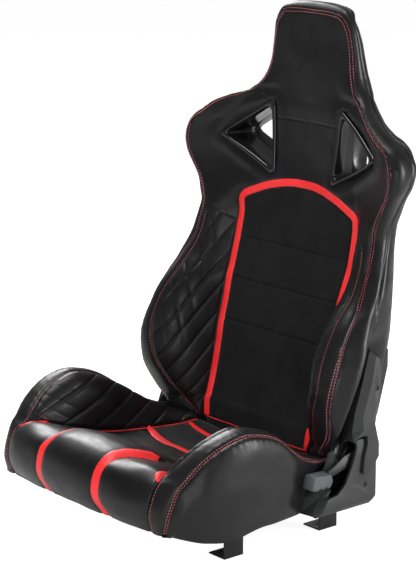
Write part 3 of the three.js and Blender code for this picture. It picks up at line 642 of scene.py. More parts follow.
# The side band runs on over the head, from its upper corner to the centre plane.
HEAD_BAND = [
    ((77, 577, 913), (83, 585, 921), (83, 597, 922), (80, 610, 919), (70, 624, 911)),
    ((60, 577, 917), (65, 588, 927), (67, 603, 928), (64, 617, 924), (57, 632, 914)),
    ((34, 577, 919), (36, 590, 931), (37, 609, 931), (36, 623, 927), (34, 637, 917)),
    ((0, 577, 919), (0, 591, 932), (0, 612, 932), (0, 626, 928), (0, 640, 918)),
]


def row_points(row):
    """The ten points of a row of the backrest as (x, depth, height)."""
    z, face, *sides, rear = row
    if not isinstance(sides[0], tuple):
        sides = zip(sides[::2], sides[1::2])
    return [(*spot, z)[:3] for spot in ((0, face), *sides, (0, rear))]


COLUMNS = np.array([row_points(row) for row in BACK_ROWS], float).transpose(1, 0, 2)
FACE, INSERT, INNER, OUTER, WIDE, SIDE, REAR_SIDE, CORNER, SHOULDER, REAR = COLUMNS
# Where the columns end at the top of the head.
FRONT_TOPS = [(0, 577, 919), (48, 577, 918), (68, 577, 916), (81, 577, 912)]
REAR_TOP, SHOULDER_TOP, CORNER_TOP = (0, 640, 918), (50, 637, 915), (73, 622, 908)
HEAD_TOP_LINE = [(0, 919), (60, 914)]
BEHIND_FRONT = (0, 700, 520)        # a point that the front cover faces away from
INSIDE_BACK = (0, 560, 520)
BEFORE_REAR = (0, 300, 520)

# ---- seams of the back as (x, z), right half mirrored later
ARCH = [(0, 594), (30, 593), (60, 588.5), (90, 581), (118, 571), (138, 563), (150, 557), (156, 550),
        (157, 540), (157, 525)]
PIPING_Z = 132              # height of the piping across the foot of the insert
INSERT_SEAM_HEIGHTS = (476, 401, 321)
INSERT_TOP = 600
INNER_SEAM_TOP = 516        # the inner crest seam ends here
STRIP_SIDE_TOP = 532        # the straight sides of the strip reach up to here
STRIP_BED = 5               # the cover starts to dip this far from the middle of the strip
BACK_CREST_CROWN = 2.6
SLOT_COLLAR = {"height": 3.2, "from_slot": 17, "reach": 11}     # padded ring round each slot
QUILT_TOP = 508             # height of the quilting's upper edge beside the insert
QUILT_TOP_RISE = 28         # and how much it climbs towards the crest
SIDE_SEAM_FROM = 366        # the seam along the side runs from here up
REAR_FIRST_ROW = 3          # the rear cover starts at this row of the table
REAR_CROSS_SEAMS = (556, 762)
REAR_SEAM = [(150, 186), (166, 300), (172, 420), (168, 520), (158, 556)]
# Thin flat seams of the neck, wings and chest.
THIN_SEAMS = [
    [(0, 711), (86, 711)],
    [(100, 737), (114, 748), (131, 760)],
    [(122, 608), (135, 592), (150, 570)],
    [(166, 512), (190, 524), (213, 537)],
]


def on_face(grid, points_xz):
    """(x, z) points given the depth of a grid's nearest points, looked for in its second half of columns."""
    half = grid[:, grid.shape[1] // 2:].reshape(-1, 3)
    tree = tree_of(half * (1, 0, 1))
    out = []
    for x, z in points_xz:
        hits = tree.find_n((x, 0, z), 4)
        weight = np.array([1 / (distance + 0.01) for _, _, distance in hits])
        depth = np.array([half[index][1] for _, index, _ in hits])
        out.append((x, float(np.sum(depth * weight) / np.sum(weight)), z))
    return np.array(out)


def line_on_face(grid, points_xz):
    """A smooth line through (x, z) points, laid on a grid."""
    return on_face(grid, curve([(x, 0, z) for x, z in points_xz], 1.5)[:, [0, 2]])


def arch_height(x):
    return np.interp(np.abs(x), *zip(*ARCH))


def build_back_front():
    """Front of the back with its quilting, seams and insert; also tells which cells the insert takes."""
    columns = [np.vstack([column, top]) for column, top in zip((FACE, INSERT, INNER, OUTER), FRONT_TOPS)]
    keys = lengths(columns[-1])
    insert_cells, quilt_cells, crest_cells = 26, 46, 10
    groups = [(0, 1, [insert_cells]), (1, 3, [quilt_cells, crest_cells])]
    half, marks = weave(columns, keys, int(keys[-1] / ROW_STEP["front"]), groups)
    s, t = runs(half, marks[1])
    width = s[:, marks[2]:marks[2] + 1]
    column = np.arange(half.shape[1])[None, :]
    x = half[..., 0]
    z = half[..., 2]

    quilt_top = QUILT_TOP + QUILT_TOP_RISE * np.clip(s / width, 0, 1)
    inside_quilt = smooth_step(s, 1, 4) * smooth_step(width - s, 4, 9) * smooth_step(quilt_top - z, 2, 8)
    cross_share = smooth_step(s / width, 0.3, 0.55) * smooth_step(z, 250, 330)
    shape = inside_quilt * quilt_height(s, t, BACK_QUILT, cross_share)
    bolster_crown = 1 + 3.5 * smooth_step(400 - z, 0, 90)
    shape += bolster_crown * hump(s / width) * smooth_step(quilt_top - z, 0, 40)

    crest_share = (column - marks[2]) / (marks[3] - marks[2])
    shape += BACK_CREST_CROWN * hump(crest_share) * smooth_step(INSERT_TOP - z, 0, 60)
    d_outer = distance_to(half, [half[:, marks[3]], line_on_face(half, HEAD_TOP_LINE)])
    d_inner = distance_to(half, [half[z[:, marks[2]] < INNER_SEAM_TOP, marks[2]]])
    shape += seam(d_outer, "crest") + seam(d_inner, "inner")
    run_outer = lengths(half[:, marks[3]])[:, None] + 0 * s
    gathers = puckers(run_outer, np.minimum(d_outer, d_inner + 4), *PUCKERS["crest"])
    shape += gathers * smooth_step(900 - z, 0, 20)

    on_insert = smooth_step(half[:, marks[1]:marks[1] + 1, 0] - STRIP_WIDTH + 2 - x, 0, 3) * (z < INSERT_TOP)
    strip_side = half[z[:, marks[1]] < STRIP_SIDE_TOP, marks[1]] - (STRIP_WIDTH / 2, 0, 0)
    d_strip = distance_to(half, [line_on_face(half, ARCH), strip_side])
    shape += seam(np.maximum(d_strip - STRIP_BED, 0), "strip")
    for height in INSERT_SEAM_HEIGHTS:
        shape += on_insert * seam(np.abs(z - height), "insert")
    shape += seam(distance_to(half, [line_on_face(half, line) for line in THIN_SEAMS]), "thin")

    lip = slot_outline(SLOT_COVER_GROW)
    d_slot = distance_to(half, [line_on_face(half, lip + lip[:1])])
    collar = -groove(d_slot - SLOT_COLLAR["from_slot"], SLOT_COLLAR["height"], SLOT_COLLAR["reach"])
    shape += collar * smooth_step(z, 570, 600) * smooth_step(770 - z, 0, 30)
    shape += seam(d_slot, "slot") + rumple(half, 5)

    full, normals = raised_whole(half, shape, BEHIND_FRONT, (90, 8))
    middle = (full[:-1, :-1] + full[1:, 1:]) / 2
    edge_x = np.abs(full[:-1, half.shape[1] - 1 + marks[1], None, 0]) - STRIP_WIDTH / 2
    under_arch = middle[..., 2] < arch_height(middle[..., 0]) - STRIP_WIDTH / 2
    return full, normals, (np.abs(middle[..., 0]) < edge_x) & under_arch


def slot_outline(grow):
    """Triangular slot, grown outwards by an offset, its corners rounded."""
    corners = [
        np.array([SLOT["inner_x"] - grow, SLOT["low_z"] - 1.6 * grow]),
        np.array([SLOT["apex_x"] + 2 * grow, SLOT["apex_z"]]),
        np.array([SLOT["inner_x"] + 12 - grow, SLOT["high_z"] + 1.8 * grow]),
    ]
    outline = []
    for before, corner, after in zip(corners[-1:] + corners, corners, corners[1:] + corners):
        start, end = (corner + SLOT_CORNER * unit(other - corner) for other in (before, after))
        for share in CORNER_SHARES:
            outline.append(tuple((1 - share)**2 * start + 2 * share * (1 - share) * corner + share**2 * end))
    return outline


def cut_slots(piece):
    """Cuts both harness slots through a cover with straight prisms."""
    outline = slot_outline(SLOT_COVER_GROW)
    count = len(outline)
    faces = [tuple(range(count)), tuple(range(count, 2 * count))[::-1]]
    faces += [(k, k + count, (k + 1) % count + count, (k + 1) % count) for k in range(count)]
    before_back, behind_back = 380, 780
    for side in (1, -1):
        points = [(side * x, y, z) for y in (before_back, behind_back) for x, z in outline]
        mesh = bpy.data.meshes.new("slot_tool")
        mesh.from_pydata(place(points).tolist(), [], faces)
        work = bmesh.new()
        work.from_mesh(mesh)
        bmesh.ops.recalc_face_normals(work, faces=work.faces)
        work.to_mesh(mesh)
        work.free()
        tool = bpy.data.objects.new("slot_tool", mesh)
        bpy.context.scene.collection.objects.link(tool)
        modifier = piece.modifiers.new("slot", "BOOLEAN")
        modifier.operation = "DIFFERENCE"
        modifier.solver = "EXACT"
        modifier.object = tool
        apply_modifier(piece)
        bpy.data.objects.remove(tool)


def apply_modifier(piece):
    """Replaces a piece's mesh with what its modifier makes of it."""
    bpy.context.view_layer.update()
    evaluated = piece.evaluated_get(bpy.context.evaluated_depsgraph_get())
    mesh = bpy.data.meshes.new_from_object(evaluated)
    piece.modifiers.clear()
    piece.data = mesh


def build_back_band():
    """The side band from one lower corner of the back, up and over the head and down the other side."""
    lines = []
    tops = np.array(HEAD_BAND, float).transpose(1, 0, 2)
    for column, top in zip((OUTER, WIDE, SIDE, REAR_SIDE, CORNER), tops):
        lines.append(np.vstack([column, top, mirror(top[-2::-1]), mirror(column[::-1])]))
    keys = lengths(lines[0])
    grid, marks = weave(lines, keys, int(keys[-1] / ROW_STEP["band"]), [(0, 4, [8, 7, 12, 5])])
    _, t = runs(grid, 0)
    side_seam = grid[:, marks[2]]
    d_side = distance_to(grid, [side_seam[side_seam[:, 2] > SIDE_SEAM_FROM]])
    d_front = distance_to(grid, [grid[:, 0]])
    d_rear = distance_to(grid, [grid[:, -1]])
    shape = seam(d_front, "crest") + seam(d_side, "side") + seam(d_rear, "border")
    shape += puckers(t, d_front, *PUCKERS["crest"]) + puckers(t, d_side, *PUCKERS["side"])
    shape += rumple(grid, 12)
    return raised(grid, shape, INSIDE_BACK)


def build_back_rear():
    """Rear of the backrest from one rear corner to the other; a mirrored column keeps its middle smooth."""
    rear, shoulder, corner = (np.vstack([column, top])[REAR_FIRST_ROW:] for column, top in
                              ((REAR, REAR_TOP), (SHOULDER, SHOULDER_TOP), (CORNER, CORNER_TOP)))
    keys = lengths(corner)
    cells = 24
    columns = [mirror(shoulder), rear, shoulder, corner]
    half, _ = weave(columns, keys, int(keys[-1] / ROW_STEP["rear"]), [(0, 3, [cells, cells, 8])])
    half = half[:, cells:]
    d_edge = distance_to(half, [half[:, -1], half[-1]])
    shape = seam(d_edge, "border") + 1.5 * smooth_step(d_edge, 0, 30)
    for height in REAR_CROSS_SEAMS:
        shape += seam(np.abs(half[..., 2] - height), "rear_cross")
    shape += seam(distance_to(half, [on_face(half, REAR_SEAM)]), "rear_panel")
    shape += 1.1 * ripple(half, 160, 21) + 0.4 * ripple(half, 60, 22)
    return raised_whole(half, shape, BEFORE_REAR)


# ---- cushion shape
# Rows run from the lower front edge over the nose to the rear: middle (y, z), then as (x, y, z) the edge of
# the pan, the inner crest seam, the outer crest seam, the widest point of the side and its lower edge.
CUSHION_ROWS = [
    ((27, 88), (201, 32, 88), (205, 33, 88), (231, 40, 88), (236, 46, 87), (234, 50, 86)),
    ((3, 120), (205, 22, 120), (209, 23, 120), (239, 40, 118), (246, 51, 110), (240, 60, 82)),
    ((0, 148), (208, 26, 148), (212, 28, 149), (243, 48, 146), (256, 62, 128), (246, 74, 77)),
    ((11, 178), (206, 40, 172), (210, 44, 173), (246, 58, 170), (261, 72, 139), (251, 86, 73)),
    ((36, 196), (198, 62, 184), (206, 64, 186), (250, 74, 186), (266, 84, 147), (256, 100, 69)),
    ((74, 201), (191, 90, 178), (212, 88, 205), (256, 94, 207), (272, 101, 156), (261, 116, 66)),
    ((116, 191), (186, 124, 167), (220, 112, 223), (263, 124, 227), (277, 128, 163), (266, 136, 63)),
    ((150, 176), (181, 156, 158), (227, 146, 240), (267, 158, 240), (280, 160, 168), (269, 164, 61)),
    ((184, 158), (177, 188, 149), (230, 184, 250), (269, 190, 245), (280, 192, 168), (269, 192, 66)),
    ((222, 144), (172, 225, 141), (230, 220, 244), (269, 226, 239), (278, 226, 163), (267, 226, 70)),
    ((264, 133), (167, 266, 135), (228, 260, 228), (268, 266, 222), (273, 266, 150), (261, 264, 68)),
    ((300, 126), (162, 300, 132), (222, 300, 203), (260, 303, 193), (265, 300, 136), (253, 297, 65)),
    ((345, 122), (156, 345, 129), (209, 344, 174), (245, 344, 166), (244, 336, 122), (239, 338, 61)),
    ((395, 121), (151, 395, 127), (199, 390, 151), (236, 386, 150), (229, 374, 118), (227, 372, 62)),
    ((434, 120), (149, 434, 126), (190, 430, 134), (222, 428, 138), (224, 424, 116), (223, 414, 68)),
    ((444, 109), (148, 444, 110), (186, 441, 112), (214, 438, 112), (219, 437, 108), (219, 434, 80)),
    ((463, 104), (148, 463, 105), (186, 459, 109), (212, 446, 109), (216, 442, 104), (217, 437, 82)),
]
NOSE_STRIP = [(84, 27, 88), (83, 4, 118), (83, 0, 146), (83, 10, 176), (83, 34, 196), (86, 66, 201),
              (93, 96, 196), (98, 122, 187), (101, 140, 179)]
NOSE_STRIP_WIDTHS = [(0, 21), (110, 22), (-34, 27), (-12, 32), (-0.01, 2)]      # see taper()
NOSE_STRIP_TOP = 3          # from this point on, the strip runs back over the nose
NOSE_STRIP_REACH = 100      # widest distance of the strip from the centre plane there
NOSE_STRIP_BED = 9.5        # the nose starts to dip this far from the middle of a strip
NOSE_VALLEY = 8             # the pan sinks this much beside the raised middle of the nose
NOSE_PUFF = {"height": 2.4, "reach": 26, "fullness": 1.6}
CUSHION_CROWN = {"bolster": 4, "crest": 1.5, "flank": 3.0}
FRONT_BAND = [(164, 322, 132), (130, 306, 127), (80, 294, 126), (0, 288, 127)]
REAR_BAND = [(151, 408, 127), (110, 398, 123), (60, 392, 121), (0, 390, 121)]
BANDS = ((FRONT_BAND, 22), (REAR_BAND, 14))     # with their widths
INSIDE_CUSHION = (0, 250, 60)
PAN, PAN_EDGE, CREST_IN, CREST_OUT, FLANK, HEM = (
    np.array([(0, *row[0]) if k == 0 else row[k] for row in CUSHION_ROWS], float) for k in range(6))


def build_cushion():
    """The whole cushion with its nose, quilted bolsters and seams, and where its feature lines run."""
    keys = lengths(CREST_OUT)
    columns = [PAN, PAN_EDGE, CREST_IN, CREST_OUT, FLANK, HEM]
    groups = [(0, 1, [44]), (1, 5, [46, 12, 16, 14])]
    half, marks = weave(columns, keys, int(keys[-1] / ROW_STEP["cushion"]), groups)
    edge = half[:, marks[1]:marks[1] + 1]
    share = half[..., :1] / edge[..., :1]
    drop = (half[:, :1] - edge) * (0, 1, 1)
    half = half + np.where(share < 1, share * (1 - share), 0) * drop
    s, t = runs(half, marks[1])
    width = s[:, marks[2]:marks[2] + 1]
    y = half[..., 1]
    z = half[..., 2]
    column = np.arange(half.shape[1])[None, :]
    on_pan = column <= marks[1]

    # Nose: three puffed sections between the strips and the side seams.
    d_strip = distance_to(half, [curve(NOSE_STRIP, 1.5)])
    d_edge = distance_to(half, [half[:, marks[1]]])
    front = smooth_step(190 - y, 0, 60) * on_pan
    beyond = np.abs(half[..., 0]) - np.interp(y, *np.array(NOSE_STRIP)[NOSE_STRIP_TOP:, 1::-1].T)
    room = half[:, marks[1]:marks[1] + 1, 0] - NOSE_STRIP_REACH
    valley = smooth_step(beyond, -9, 9) * (1 - smooth_step(beyond / room, 0.2, 1)) * on_pan
    valley *= smooth_step(y, 12, 55) * smooth_step(z, 120, 165) * smooth_step(200 - y, 0, 60)
    puff = 1 - np.exp(-((np.minimum(d_strip, d_edge) / NOSE_PUFF["reach"]) ** NOSE_PUFF["fullness"]))
    shape = NOSE_PUFF["height"] * puff * front * smooth_step(z, 84, 110) - NOSE_VALLEY * valley
    shape += seam(np.maximum(d_strip - NOSE_STRIP_BED, 0), "nose_strip") + seam(d_edge, "pan_edge")

    inside_quilt = smooth_step(s, 3, 8) * smooth_step(width - s, 4, 9) * smooth_step(t, 95, 130)
    shape += inside_quilt * quilt_height(s, -t, CUSHION_QUILT, 0.5 * smooth_step(200 - y, 0, 60))
    on_bolster = smooth_step(width, 12, 40) * (column >= marks[1]) * (column <= marks[2])
    shape += CUSHION_CROWN["bolster"] * hump(s / np.maximum(width, 1)) * on_bolster
    shape += CUSHION_CROWN["crest"] * hump((column - marks[2]) / (marks[3] - marks[2]))
    d_in = distance_to(half, [half[:, marks[2]]])
    d_out = distance_to(half, [half[:, marks[3]]])
    shape += seam(d_in, "cushion_inner") * smooth_step(width, 4, 14) + seam(d_out, "cushion_crest")
    run_out = lengths(half[:, marks[3]])[:, None] + 0 * s
    shape += puckers(run_out, np.minimum(d_out, d_in + 3), *PUCKERS["cushion"])
    flank = hump((column - marks[3]) / (marks[5] - marks[3])) * smooth_step(column, marks[3], marks[4])
    shape += CUSHION_CROWN["flank"] * flank

    for line, band_width in BANDS:
        beside_band = np.maximum(distance_to(half, [curve(line, 1.5)]) - band_width / 2 + 2.5, 0)
        shape += seam(beside_band, "band") * (column < marks[1])
    shape += rumple(half, 41) + 0.5 * ripple(half * (1, 0.35, 1), 90, 43) * front
    return *raised_whole(half, shape, INSIDE_CUSHION, (95, 44)), marks, half.shape[1] - 1


# ---- put the covers together
def cover(name, sheet, body, look, nodes=(), keep=None, slotted=False):
    """A padded cover made of the kept cells of a sheet, in place of the foam under it."""
    points, faces = skin(*sheet, keep)
    piece = mesh_piece(name, points, faces, body, look)
    if slotted:
        cut_slots(piece)
    if nodes:
        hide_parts(*nodes)


*back_front, insert_cells = build_back_front()
back_band = build_back_band()
head_and_bolsters = ("back_foam_bolster_left", "back_foam_bolster_right", "wing_foam_left", "wing_foam_right",
                     "neck_foam", "head_foam")
cover("back_front_cover", back_front, "backrest", "leather_black", head_and_bolsters, ~insert_cells,
      slotted=True)
cover("back_insert_cover", back_front, "backrest", "suede_black", ["back_foam_centre"], insert_cells)
cover("back_side_band", back_band, "backrest", "leather_black")
cover("back_rear_cover", build_back_rear(), "backrest", "leather_black", ["back_panel"], slotted=True)

*cushion, cushion_marks, cushion_centre = build_cushion()
cushion_grid = cushion[0]
middles = (cushion_grid[:-1, :-1] + cushion_grid[1:, 1:]) / 2
band_x, band_depth, _ = zip(*FRONT_BAND[::-1])
cells = np.arange(cushion_grid.shape[1] - 1)[None, :] + 0 * middles[..., 0]
left_cells = cells >= cushion_centre + cushion_marks[1]
right_cells = cells < cushion_centre - cushion_marks[1]
behind_band = middles[..., 1] > np.interp(np.abs(middles[..., 0]), band_x, band_depth)
in_pan = ~left_cells & ~right_cells
for name, look, fill, nodes, keep in (
        ("cushion_nose_cover", "leather_black", 0.75, ["cushion_foam_centre"], in_pan & ~behind_band),
        ("cushion_pan_cover", "suede_black", 0.7, [], in_pan & behind_band),
        ("cushion_bolster_cover_left", "leather_black", 0.8, ["cushion_foam_bolster_left"], left_cells),
        ("cushion_bolster_cover_right", "leather_black", 0.8, ["cushion_foam_bolster_right"], right_cells)):
    cover(name, cushion, "base", look, nodes, keep)


# ---- slot bezels
# Section of the rim as (offset from the slot's outline, height over the cover): from its buried outer edge
# over the rounded lip into the tunnel.
BEZEL_SECTION = [(8.6, -2.5), (9.2, 0.4), (8.6, 2.4), (7.0, 4.0), (4.6, 4.6), (2.2, 3.7), (0.6, 1.8),
                 (-0.2, -1.0), (0.0, -5.0)]
BEZEL_SEAT = 10.0           # the rim follows the cover's depth along this offset
SEAT_SMOOTHING = 30         # passes that even out the rim's seat
TUNNEL_WALL = 3.6
TUNNEL_END = 604.0          # where the front tunnel meets the rear one


def slot_ring(grow):
    """Slot outline with its edges divided, the same number of points for every offset."""
    corners = np.array(slot_outline(grow))
    edge_steps, corner_steps = 12, 2
    ring = []
    for k, (start, end) in enumerate(zip(corners, np.roll(corners, -1, axis=0))):
        on_edge = (k + 1) % len(CORNER_SHARES) == 0
        steps = edge_steps if on_edge else corner_steps
        ring += [start + (end - start) * step / steps for step in range(steps)]
    return np.array(ring)


def bezel(side):
    """Glossy rim round a harness slot, rolled over the cover in front, with its tunnel to the rear."""
    seat = on_face(back_front[0], slot_ring(BEZEL_SEAT))[:, 1]
    for _ in range(SEAT_SMOOTHING):
        seat = (np.roll(seat, 1) + 2 * seat + np.roll(seat, -1)) / 4
    section = [(grow, seat - height) for grow, height in BEZEL_SECTION]
    section += [(0.0, 0 * seat + TUNNEL_END), (TUNNEL_WALL, 0 * seat + TUNNEL_END), (TUNNEL_WALL, seat + 2.5)]
    rings = []
    for grow, depth in section:
        x, z = slot_ring(grow).T
        rings.append(np.stack([side * x, depth, z], axis=1))
    rows, cols = len(rings), len(rings[0])
    faces = []
    for r in range(rows):
        for c in range(cols):
            next_r, next_c = (r + 1) % rows, (c + 1) % cols
            quad = (r * cols + c, next_r * cols + c, next_r * cols + next_c, r * cols + next_c)
            faces.append(quad[::side])
    return np.concatenate(rings), faces


for side_name, side in (("left", 1), ("right", -1)):
    rim = mesh_piece("harness_bezel_rim_" + side_name, *bezel(side), "backrest", "plastic_gloss")
    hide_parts("harness_bezel_front_" + side_name)


# ---- underside of the cushion
# Rows of the dust cover from the front: y, height of its middle, height where it passes over the side rails.
DUST_ROWS = [(36, 92, 100), (64, 94, 107), (102, 94, 107), (114, 79, 107), (230, 79, 107), (425, 79, 107),
             (460, 99, 107)]
RAIL_INNER_X = 176          # the cloth climbs beside the rails, over this distance
RAIL_CLIMB = 5
RAIL_OUTER_X = 212
OVER_DUST_COVER = (0, 250, 300)


def build_dust_cover():
    """Cloth under the cushion, over the mat and rails, joining the lower edges of the cover."""
    rows = []
    for y, z, rail_z in DUST_ROWS:
        hem_x, hem_z = (np.interp(y, HEM[:, 1], HEM[:, k]) for k in (0, 2))
        rows.append([(0, y, z), (RAIL_INNER_X - RAIL_CLIMB, y, z), (RAIL_INNER_X, y, rail_z),
                     (min(RAIL_OUTER_X, hem_x - 8), y, rail_z), (hem_x - 4, y, hem_z + 1)])
    columns = np.array(rows, float).transpose(1, 0, 2)
    half, _ = weave(columns, columns[0][:, 1], 90, [(0, 1, [24]), (1, 2, [5]), (2, 3, [6]), (3, 4, [8])])
    full = both_halves(half)
    return raised(full, 0.8 * ripple(full, 60, 51), OVER_DUST_COVER)


dust_points, dust_faces = skin(*build_dust_cover(), thickness=DUST_SKIN)
dust_cover = mesh_piece("cushion_dust_cover", dust_points, dust_faces, "base", "suede_black")


# ---- red strips, piping and stitching
back_surface = surface_of(back_front, back_band)
cushion_surface = surface_of(cushion)


def trim(name, parts, body, look):
    mesh_piece(name, *gather(parts), body, look)


def both_sides(path):
    return [np.asarray(path, float), mirror(path)]


def taper(path, widths):
    """Width at each point of a path from (distance from the start, width) pairs; negative is from the end."""
    run = lengths(path)
    at = [d if d >= 0 else run[-1] + d for d, _ in widths]
    return np.interp(run, at, [w for _, w in widths])


def back_strip_path():
    """Centre line of the red strip: up one side of the insert, over the arch and down the other side."""
    rows = INSERT[(INSERT[:, 2] > PIPING_Z) & (INSERT[:, 2] < 500)]
    side_rows = rows[::3] - (STRIP_WIDTH / 2, 0, 0)
    arch = [(x, np.interp(z, FACE[:, 2], FACE[:, 1]), z) for x, z in ARCH[::-1]]
    half = np.vstack([side_rows, arch])
    return curve(np.vstack([half, mirror(half[-2::-1])]), 3.0)


def piping_tab(edge_path):
    """Red tab on the pan beside the piping, where it starts at the nose."""
    path = edge_path[lengths(edge_path) < 66]
    run = lengths(path)
    widths = np.interp(run, [0, 5, 14, 38, run[-1]], [1, 9, 15, 11, 1])
    _, _, side = frames_along(path, cushion_surface)
    inward = np.where(side[:, :1] * np.sign(path[:, :1]) < 0, 1, -1)
    return strip_on(cushion_surface, path + side * inward * widths[:, None] / 2, widths, 0.9, sink=1.6)


strip_path = back_strip_path()
trim("back_strip", [strip_on(back_surface, strip_path, np.full(len(strip_path), STRIP_WIDTH), STRIP_RISE)],
     "backrest", "leather_red")

nose_strips = []
for path in both_sides(NOSE_STRIP):
    dense_path = curve(path, 3.0)
    nose_strips.append(strip_on(cushion_surface, dense_path, taper(dense_path, NOSE_STRIP_WIDTHS), 1.2))
trim("cushion_nose_strips", nose_strips, "base", "leather_red")

bands = []
for line, width in BANDS:
    dense_path = curve(np.vstack([line, mirror(line[-2::-1])]), 3.0)
    neck = 0.7 * width
    widths = taper(dense_path, [(0, 1), (10, neck), (60, width), (-60, width), (-10, neck), (-0.01, 1)])
    bands.append(strip_on(cushion_surface, dense_path, widths, 1.0))
trim("cushion_bands", bands, "base", "leather_red")

edge_rows = cushion_grid[:, cushion_centre + cushion_marks[1]]
edge_piping = []
for path in both_sides(edge_rows[edge_rows[:, 1] > 48]):
    edge_path = curve(path[::6], 2.0)
    edge_piping += [cord_on(cushion_surface, edge_path, 1.1, 1.0), piping_tab(edge_path)]
trim("cushion_piping", edge_piping, "base", "leather_red")

bottom_half = on_face(back_front[0], [(x, PIPING_Z) for x in range(0, 150, 8)])
bottom_path = curve(np.vstack([mirror(bottom_half[:0:-1]), bottom_half]), 3.0)
trim("back_bottom_piping", [cord_on(back_surface, bottom_path, 0.9, 0.2)], "backrest", "leather_red")

double_seam = (-DOUBLE_SEAM_GAP, DOUBLE_SEAM_GAP)
back_stitches = [stitches(back_surface, path) for path in both_sides(INNER[INNER[:, 2] <= INNER_SEAM_TOP])]
back_stitches += [stitches(back_surface, back_band[0][::3, 0], offset) for offset in double_seam]
trim("back_stitching", back_stitches, "backrest", "thread_red")

cushion_stitches = []
for mark, offsets in ((cushion_marks[2], (0.0,)), (cushion_marks[3], double_seam)):
    for column in (cushion_centre + mark, cushion_centre - mark):
        seam_line = cushion_grid[::3, column]
        cushion_stitches += [stitches(cushion_surface, seam_line, offset) for offset in offsets]
trim("cushion_stitching", cushion_stitches, "base", "thread_red")


# ---- hard parts carried over from the frame
BODY_OF = {node: body for body, nodes in frame["record"]["behaviour"]["bodies"].items() for node in nodes}
SLOT_OF = {entry["node"]: entry["material_slot"] for entry in frame["record"]["subparts"]}
# Edge radius of the parts that show, in millimetres.
ROUNDED = {"lower_cover": 1.6, "upper_cover": 1.6, "foot_front": 0.8, "foot_rear": 0.8}
ROUNDED_EDGES = {f"{part}_{side}": radius for side in ("left", "right") for part, radius in ROUNDED.items()}
ROUNDED_EDGES |= {"release_lever_grip": 2.2, "release_lever_arm": 0.8, "harness_bezel_rear_left": 1.2,
                  "harness_bezel_rear_right": 1.2}


def soften(name, radius):
    """A copy of a carried part with its edges rounded, standing for that part."""
    mesh = frame["nodes"][name].data.copy()
    piece = bpy.data.objects.new(name + "_finished", mesh)
    bpy.context.scene.collection.objects.link(piece)
    work = bmesh.new()
    work.from_mesh(mesh)
    bmesh.ops.remove_doubles(work, verts=work.verts, dist=0.00002)
    bmesh.ops.dissolve_limit(work, angle_limit=math.radians(2), verts=work.verts, edges=work.edges)
    work.to_mesh(mesh)
    work.free()
    bevel = piece.modifiers.new("round", "BEVEL")
    bevel.width = radius * MM
    bevel.segments = 3
    bevel.limit_method = "ANGLE"
    bevel.angle_limit = math.radians(28)
    apply_modifier(piece)
    piece.data.polygons.foreach_set("use_smooth", [True] * len(piece.data.polygons))
    piece.data.set_sharp_from_angle(angle=math.radians(38))
    piece.data.materials.clear()
    piece.data.materials.append(LOOKS[SLOT_OF[name]])
    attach(piece, BODY_OF[name])
    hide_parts(name)


for node_name, slot_name in SLOT_OF.items():
    node = frame["nodes"][node_name]
    node.data.materials.clear()
    node.data.materials.append(LOOKS[slot_name])
for node_name, radius in ROUNDED_EDGES.items():
    soften(node_name, radius)


# ---- floor, light and camera
WHITE = (1, 1, 1, 1)
WORLD_LIGHT = 0.16          # strength of the surroundings as light; the camera sees them white
FLOOR_GLOW = 0.20           # own light of the floor as light
FLOOR_WHITE = 0.90          # and as the camera sees it
FLOOR_REACH = 40.0
# Softboxes: position, height they aim at over the seat's middle, width, height and watts.
SOFTBOXES = {
    "rear_left": ((-2.3, 1.0, 2.0), 0.4, 1.1, 1.6, 66),
    "top": ((-0.2, 0.1, 2.8), 0.4, 1.2, 1.2, 38),
    "rim_right": ((2.6, 1.7, 1.0), 0.4, 0.6, 1.8, 85),
    "front_right": ((3.6, -2.4, 0.9), 0.5, 1.4, 1.4, 28),
    "fill": ((0.8, -3.2, 1.9), 0.5, 2.0, 2.0, 105),
}
CAMERA_PLACE = (2.8385, -2.3846, 1.3420)
CAMERA_AZIMUTH = math.radians(49.94)
CAMERA_ELEVATION = math.radians(13.60)
CAMERA_LENS = 134.5


def seen_or_lit(tree, lit, seen):
    """One strength for the light that a surface gives and another for the camera."""
    rays = tree.nodes.new("ShaderNodeLightPath")
    return range_between(tree, rays.outputs["Is Camera Ray"], 0, 1, lit, seen)


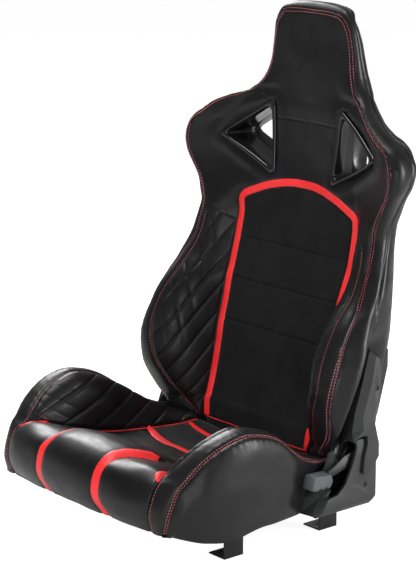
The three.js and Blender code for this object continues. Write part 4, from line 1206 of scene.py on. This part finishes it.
def build_floor():
    mesh = bpy.data.meshes.new("floor")
    reach = FLOOR_REACH
    corners = [(-reach, -reach, 0), (reach, -reach, 0), (reach, reach, 0), (-reach, reach, 0)]
    mesh.from_pydata(corners, [], [(0, 1, 2, 3)])
    floor = bpy.data.objects.new("floor", mesh)
    bpy.context.scene.collection.objects.link(floor)
    paper, tree, shader = principled("floor_paper", (0.5, 0.5, 0.5), 1.0)
    shader.inputs["Emission Color"].default_value = WHITE
    tree.links.new(seen_or_lit(tree, FLOOR_GLOW, FLOOR_WHITE), shader.inputs["Emission Strength"])
    shader.inputs["Specular IOR Level"].default_value = 0.0
    mesh.materials.append(paper)


def build_world():
    world = bpy.data.worlds.new("studio")
    bpy.context.scene.world = world
    bpy.context.scene.view_settings.view_transform = "Standard"
    world.use_nodes = True
    tree = world.node_tree
    tree.nodes["Background"].inputs["Color"].default_value = WHITE
    tree.links.new(seen_or_lit(tree, WORLD_LIGHT, 1.0), tree.nodes["Background"].inputs["Strength"])


def softbox(name, position, aim_height, width, height, watts):
    light = bpy.data.lights.new(name, "AREA")
    light.shape = "RECTANGLE"
    light.size = width
    light.size_y = height
    light.energy = watts
    box = bpy.data.objects.new(name, light)
    bpy.context.scene.collection.objects.link(box)
    box.location = position
    aim = Vector((0, 0, aim_height)) - Vector(position)
    box.rotation_euler = aim.to_track_quat("-Z", "Y").to_euler()
    box.visible_glossy = name != "fill"


def build_camera():
    """Standing 3.9 m away to the sitter's left front, a little above the head."""
    camera_data = bpy.data.cameras.new("camera")
    camera_data.sensor_width = 36.0
    camera_data.sensor_fit = "AUTO"
    camera_data.lens = CAMERA_LENS
    camera = bpy.data.objects.new("camera", camera_data)
    bpy.context.scene.collection.objects.link(camera)
    camera.location = CAMERA_PLACE
    level = math.cos(CAMERA_ELEVATION)
    direction = Vector((-math.sin(CAMERA_AZIMUTH) * level, math.cos(CAMERA_AZIMUTH) * level,
                        -math.sin(CAMERA_ELEVATION)))
    camera.rotation_euler = direction.to_track_quat("-Z", "Y").to_euler()
    bpy.context.scene.camera = camera


build_floor()
build_world()
for box_name, box_settings in SOFTBOXES.items():
    softbox(box_name, *box_settings)
build_camera()
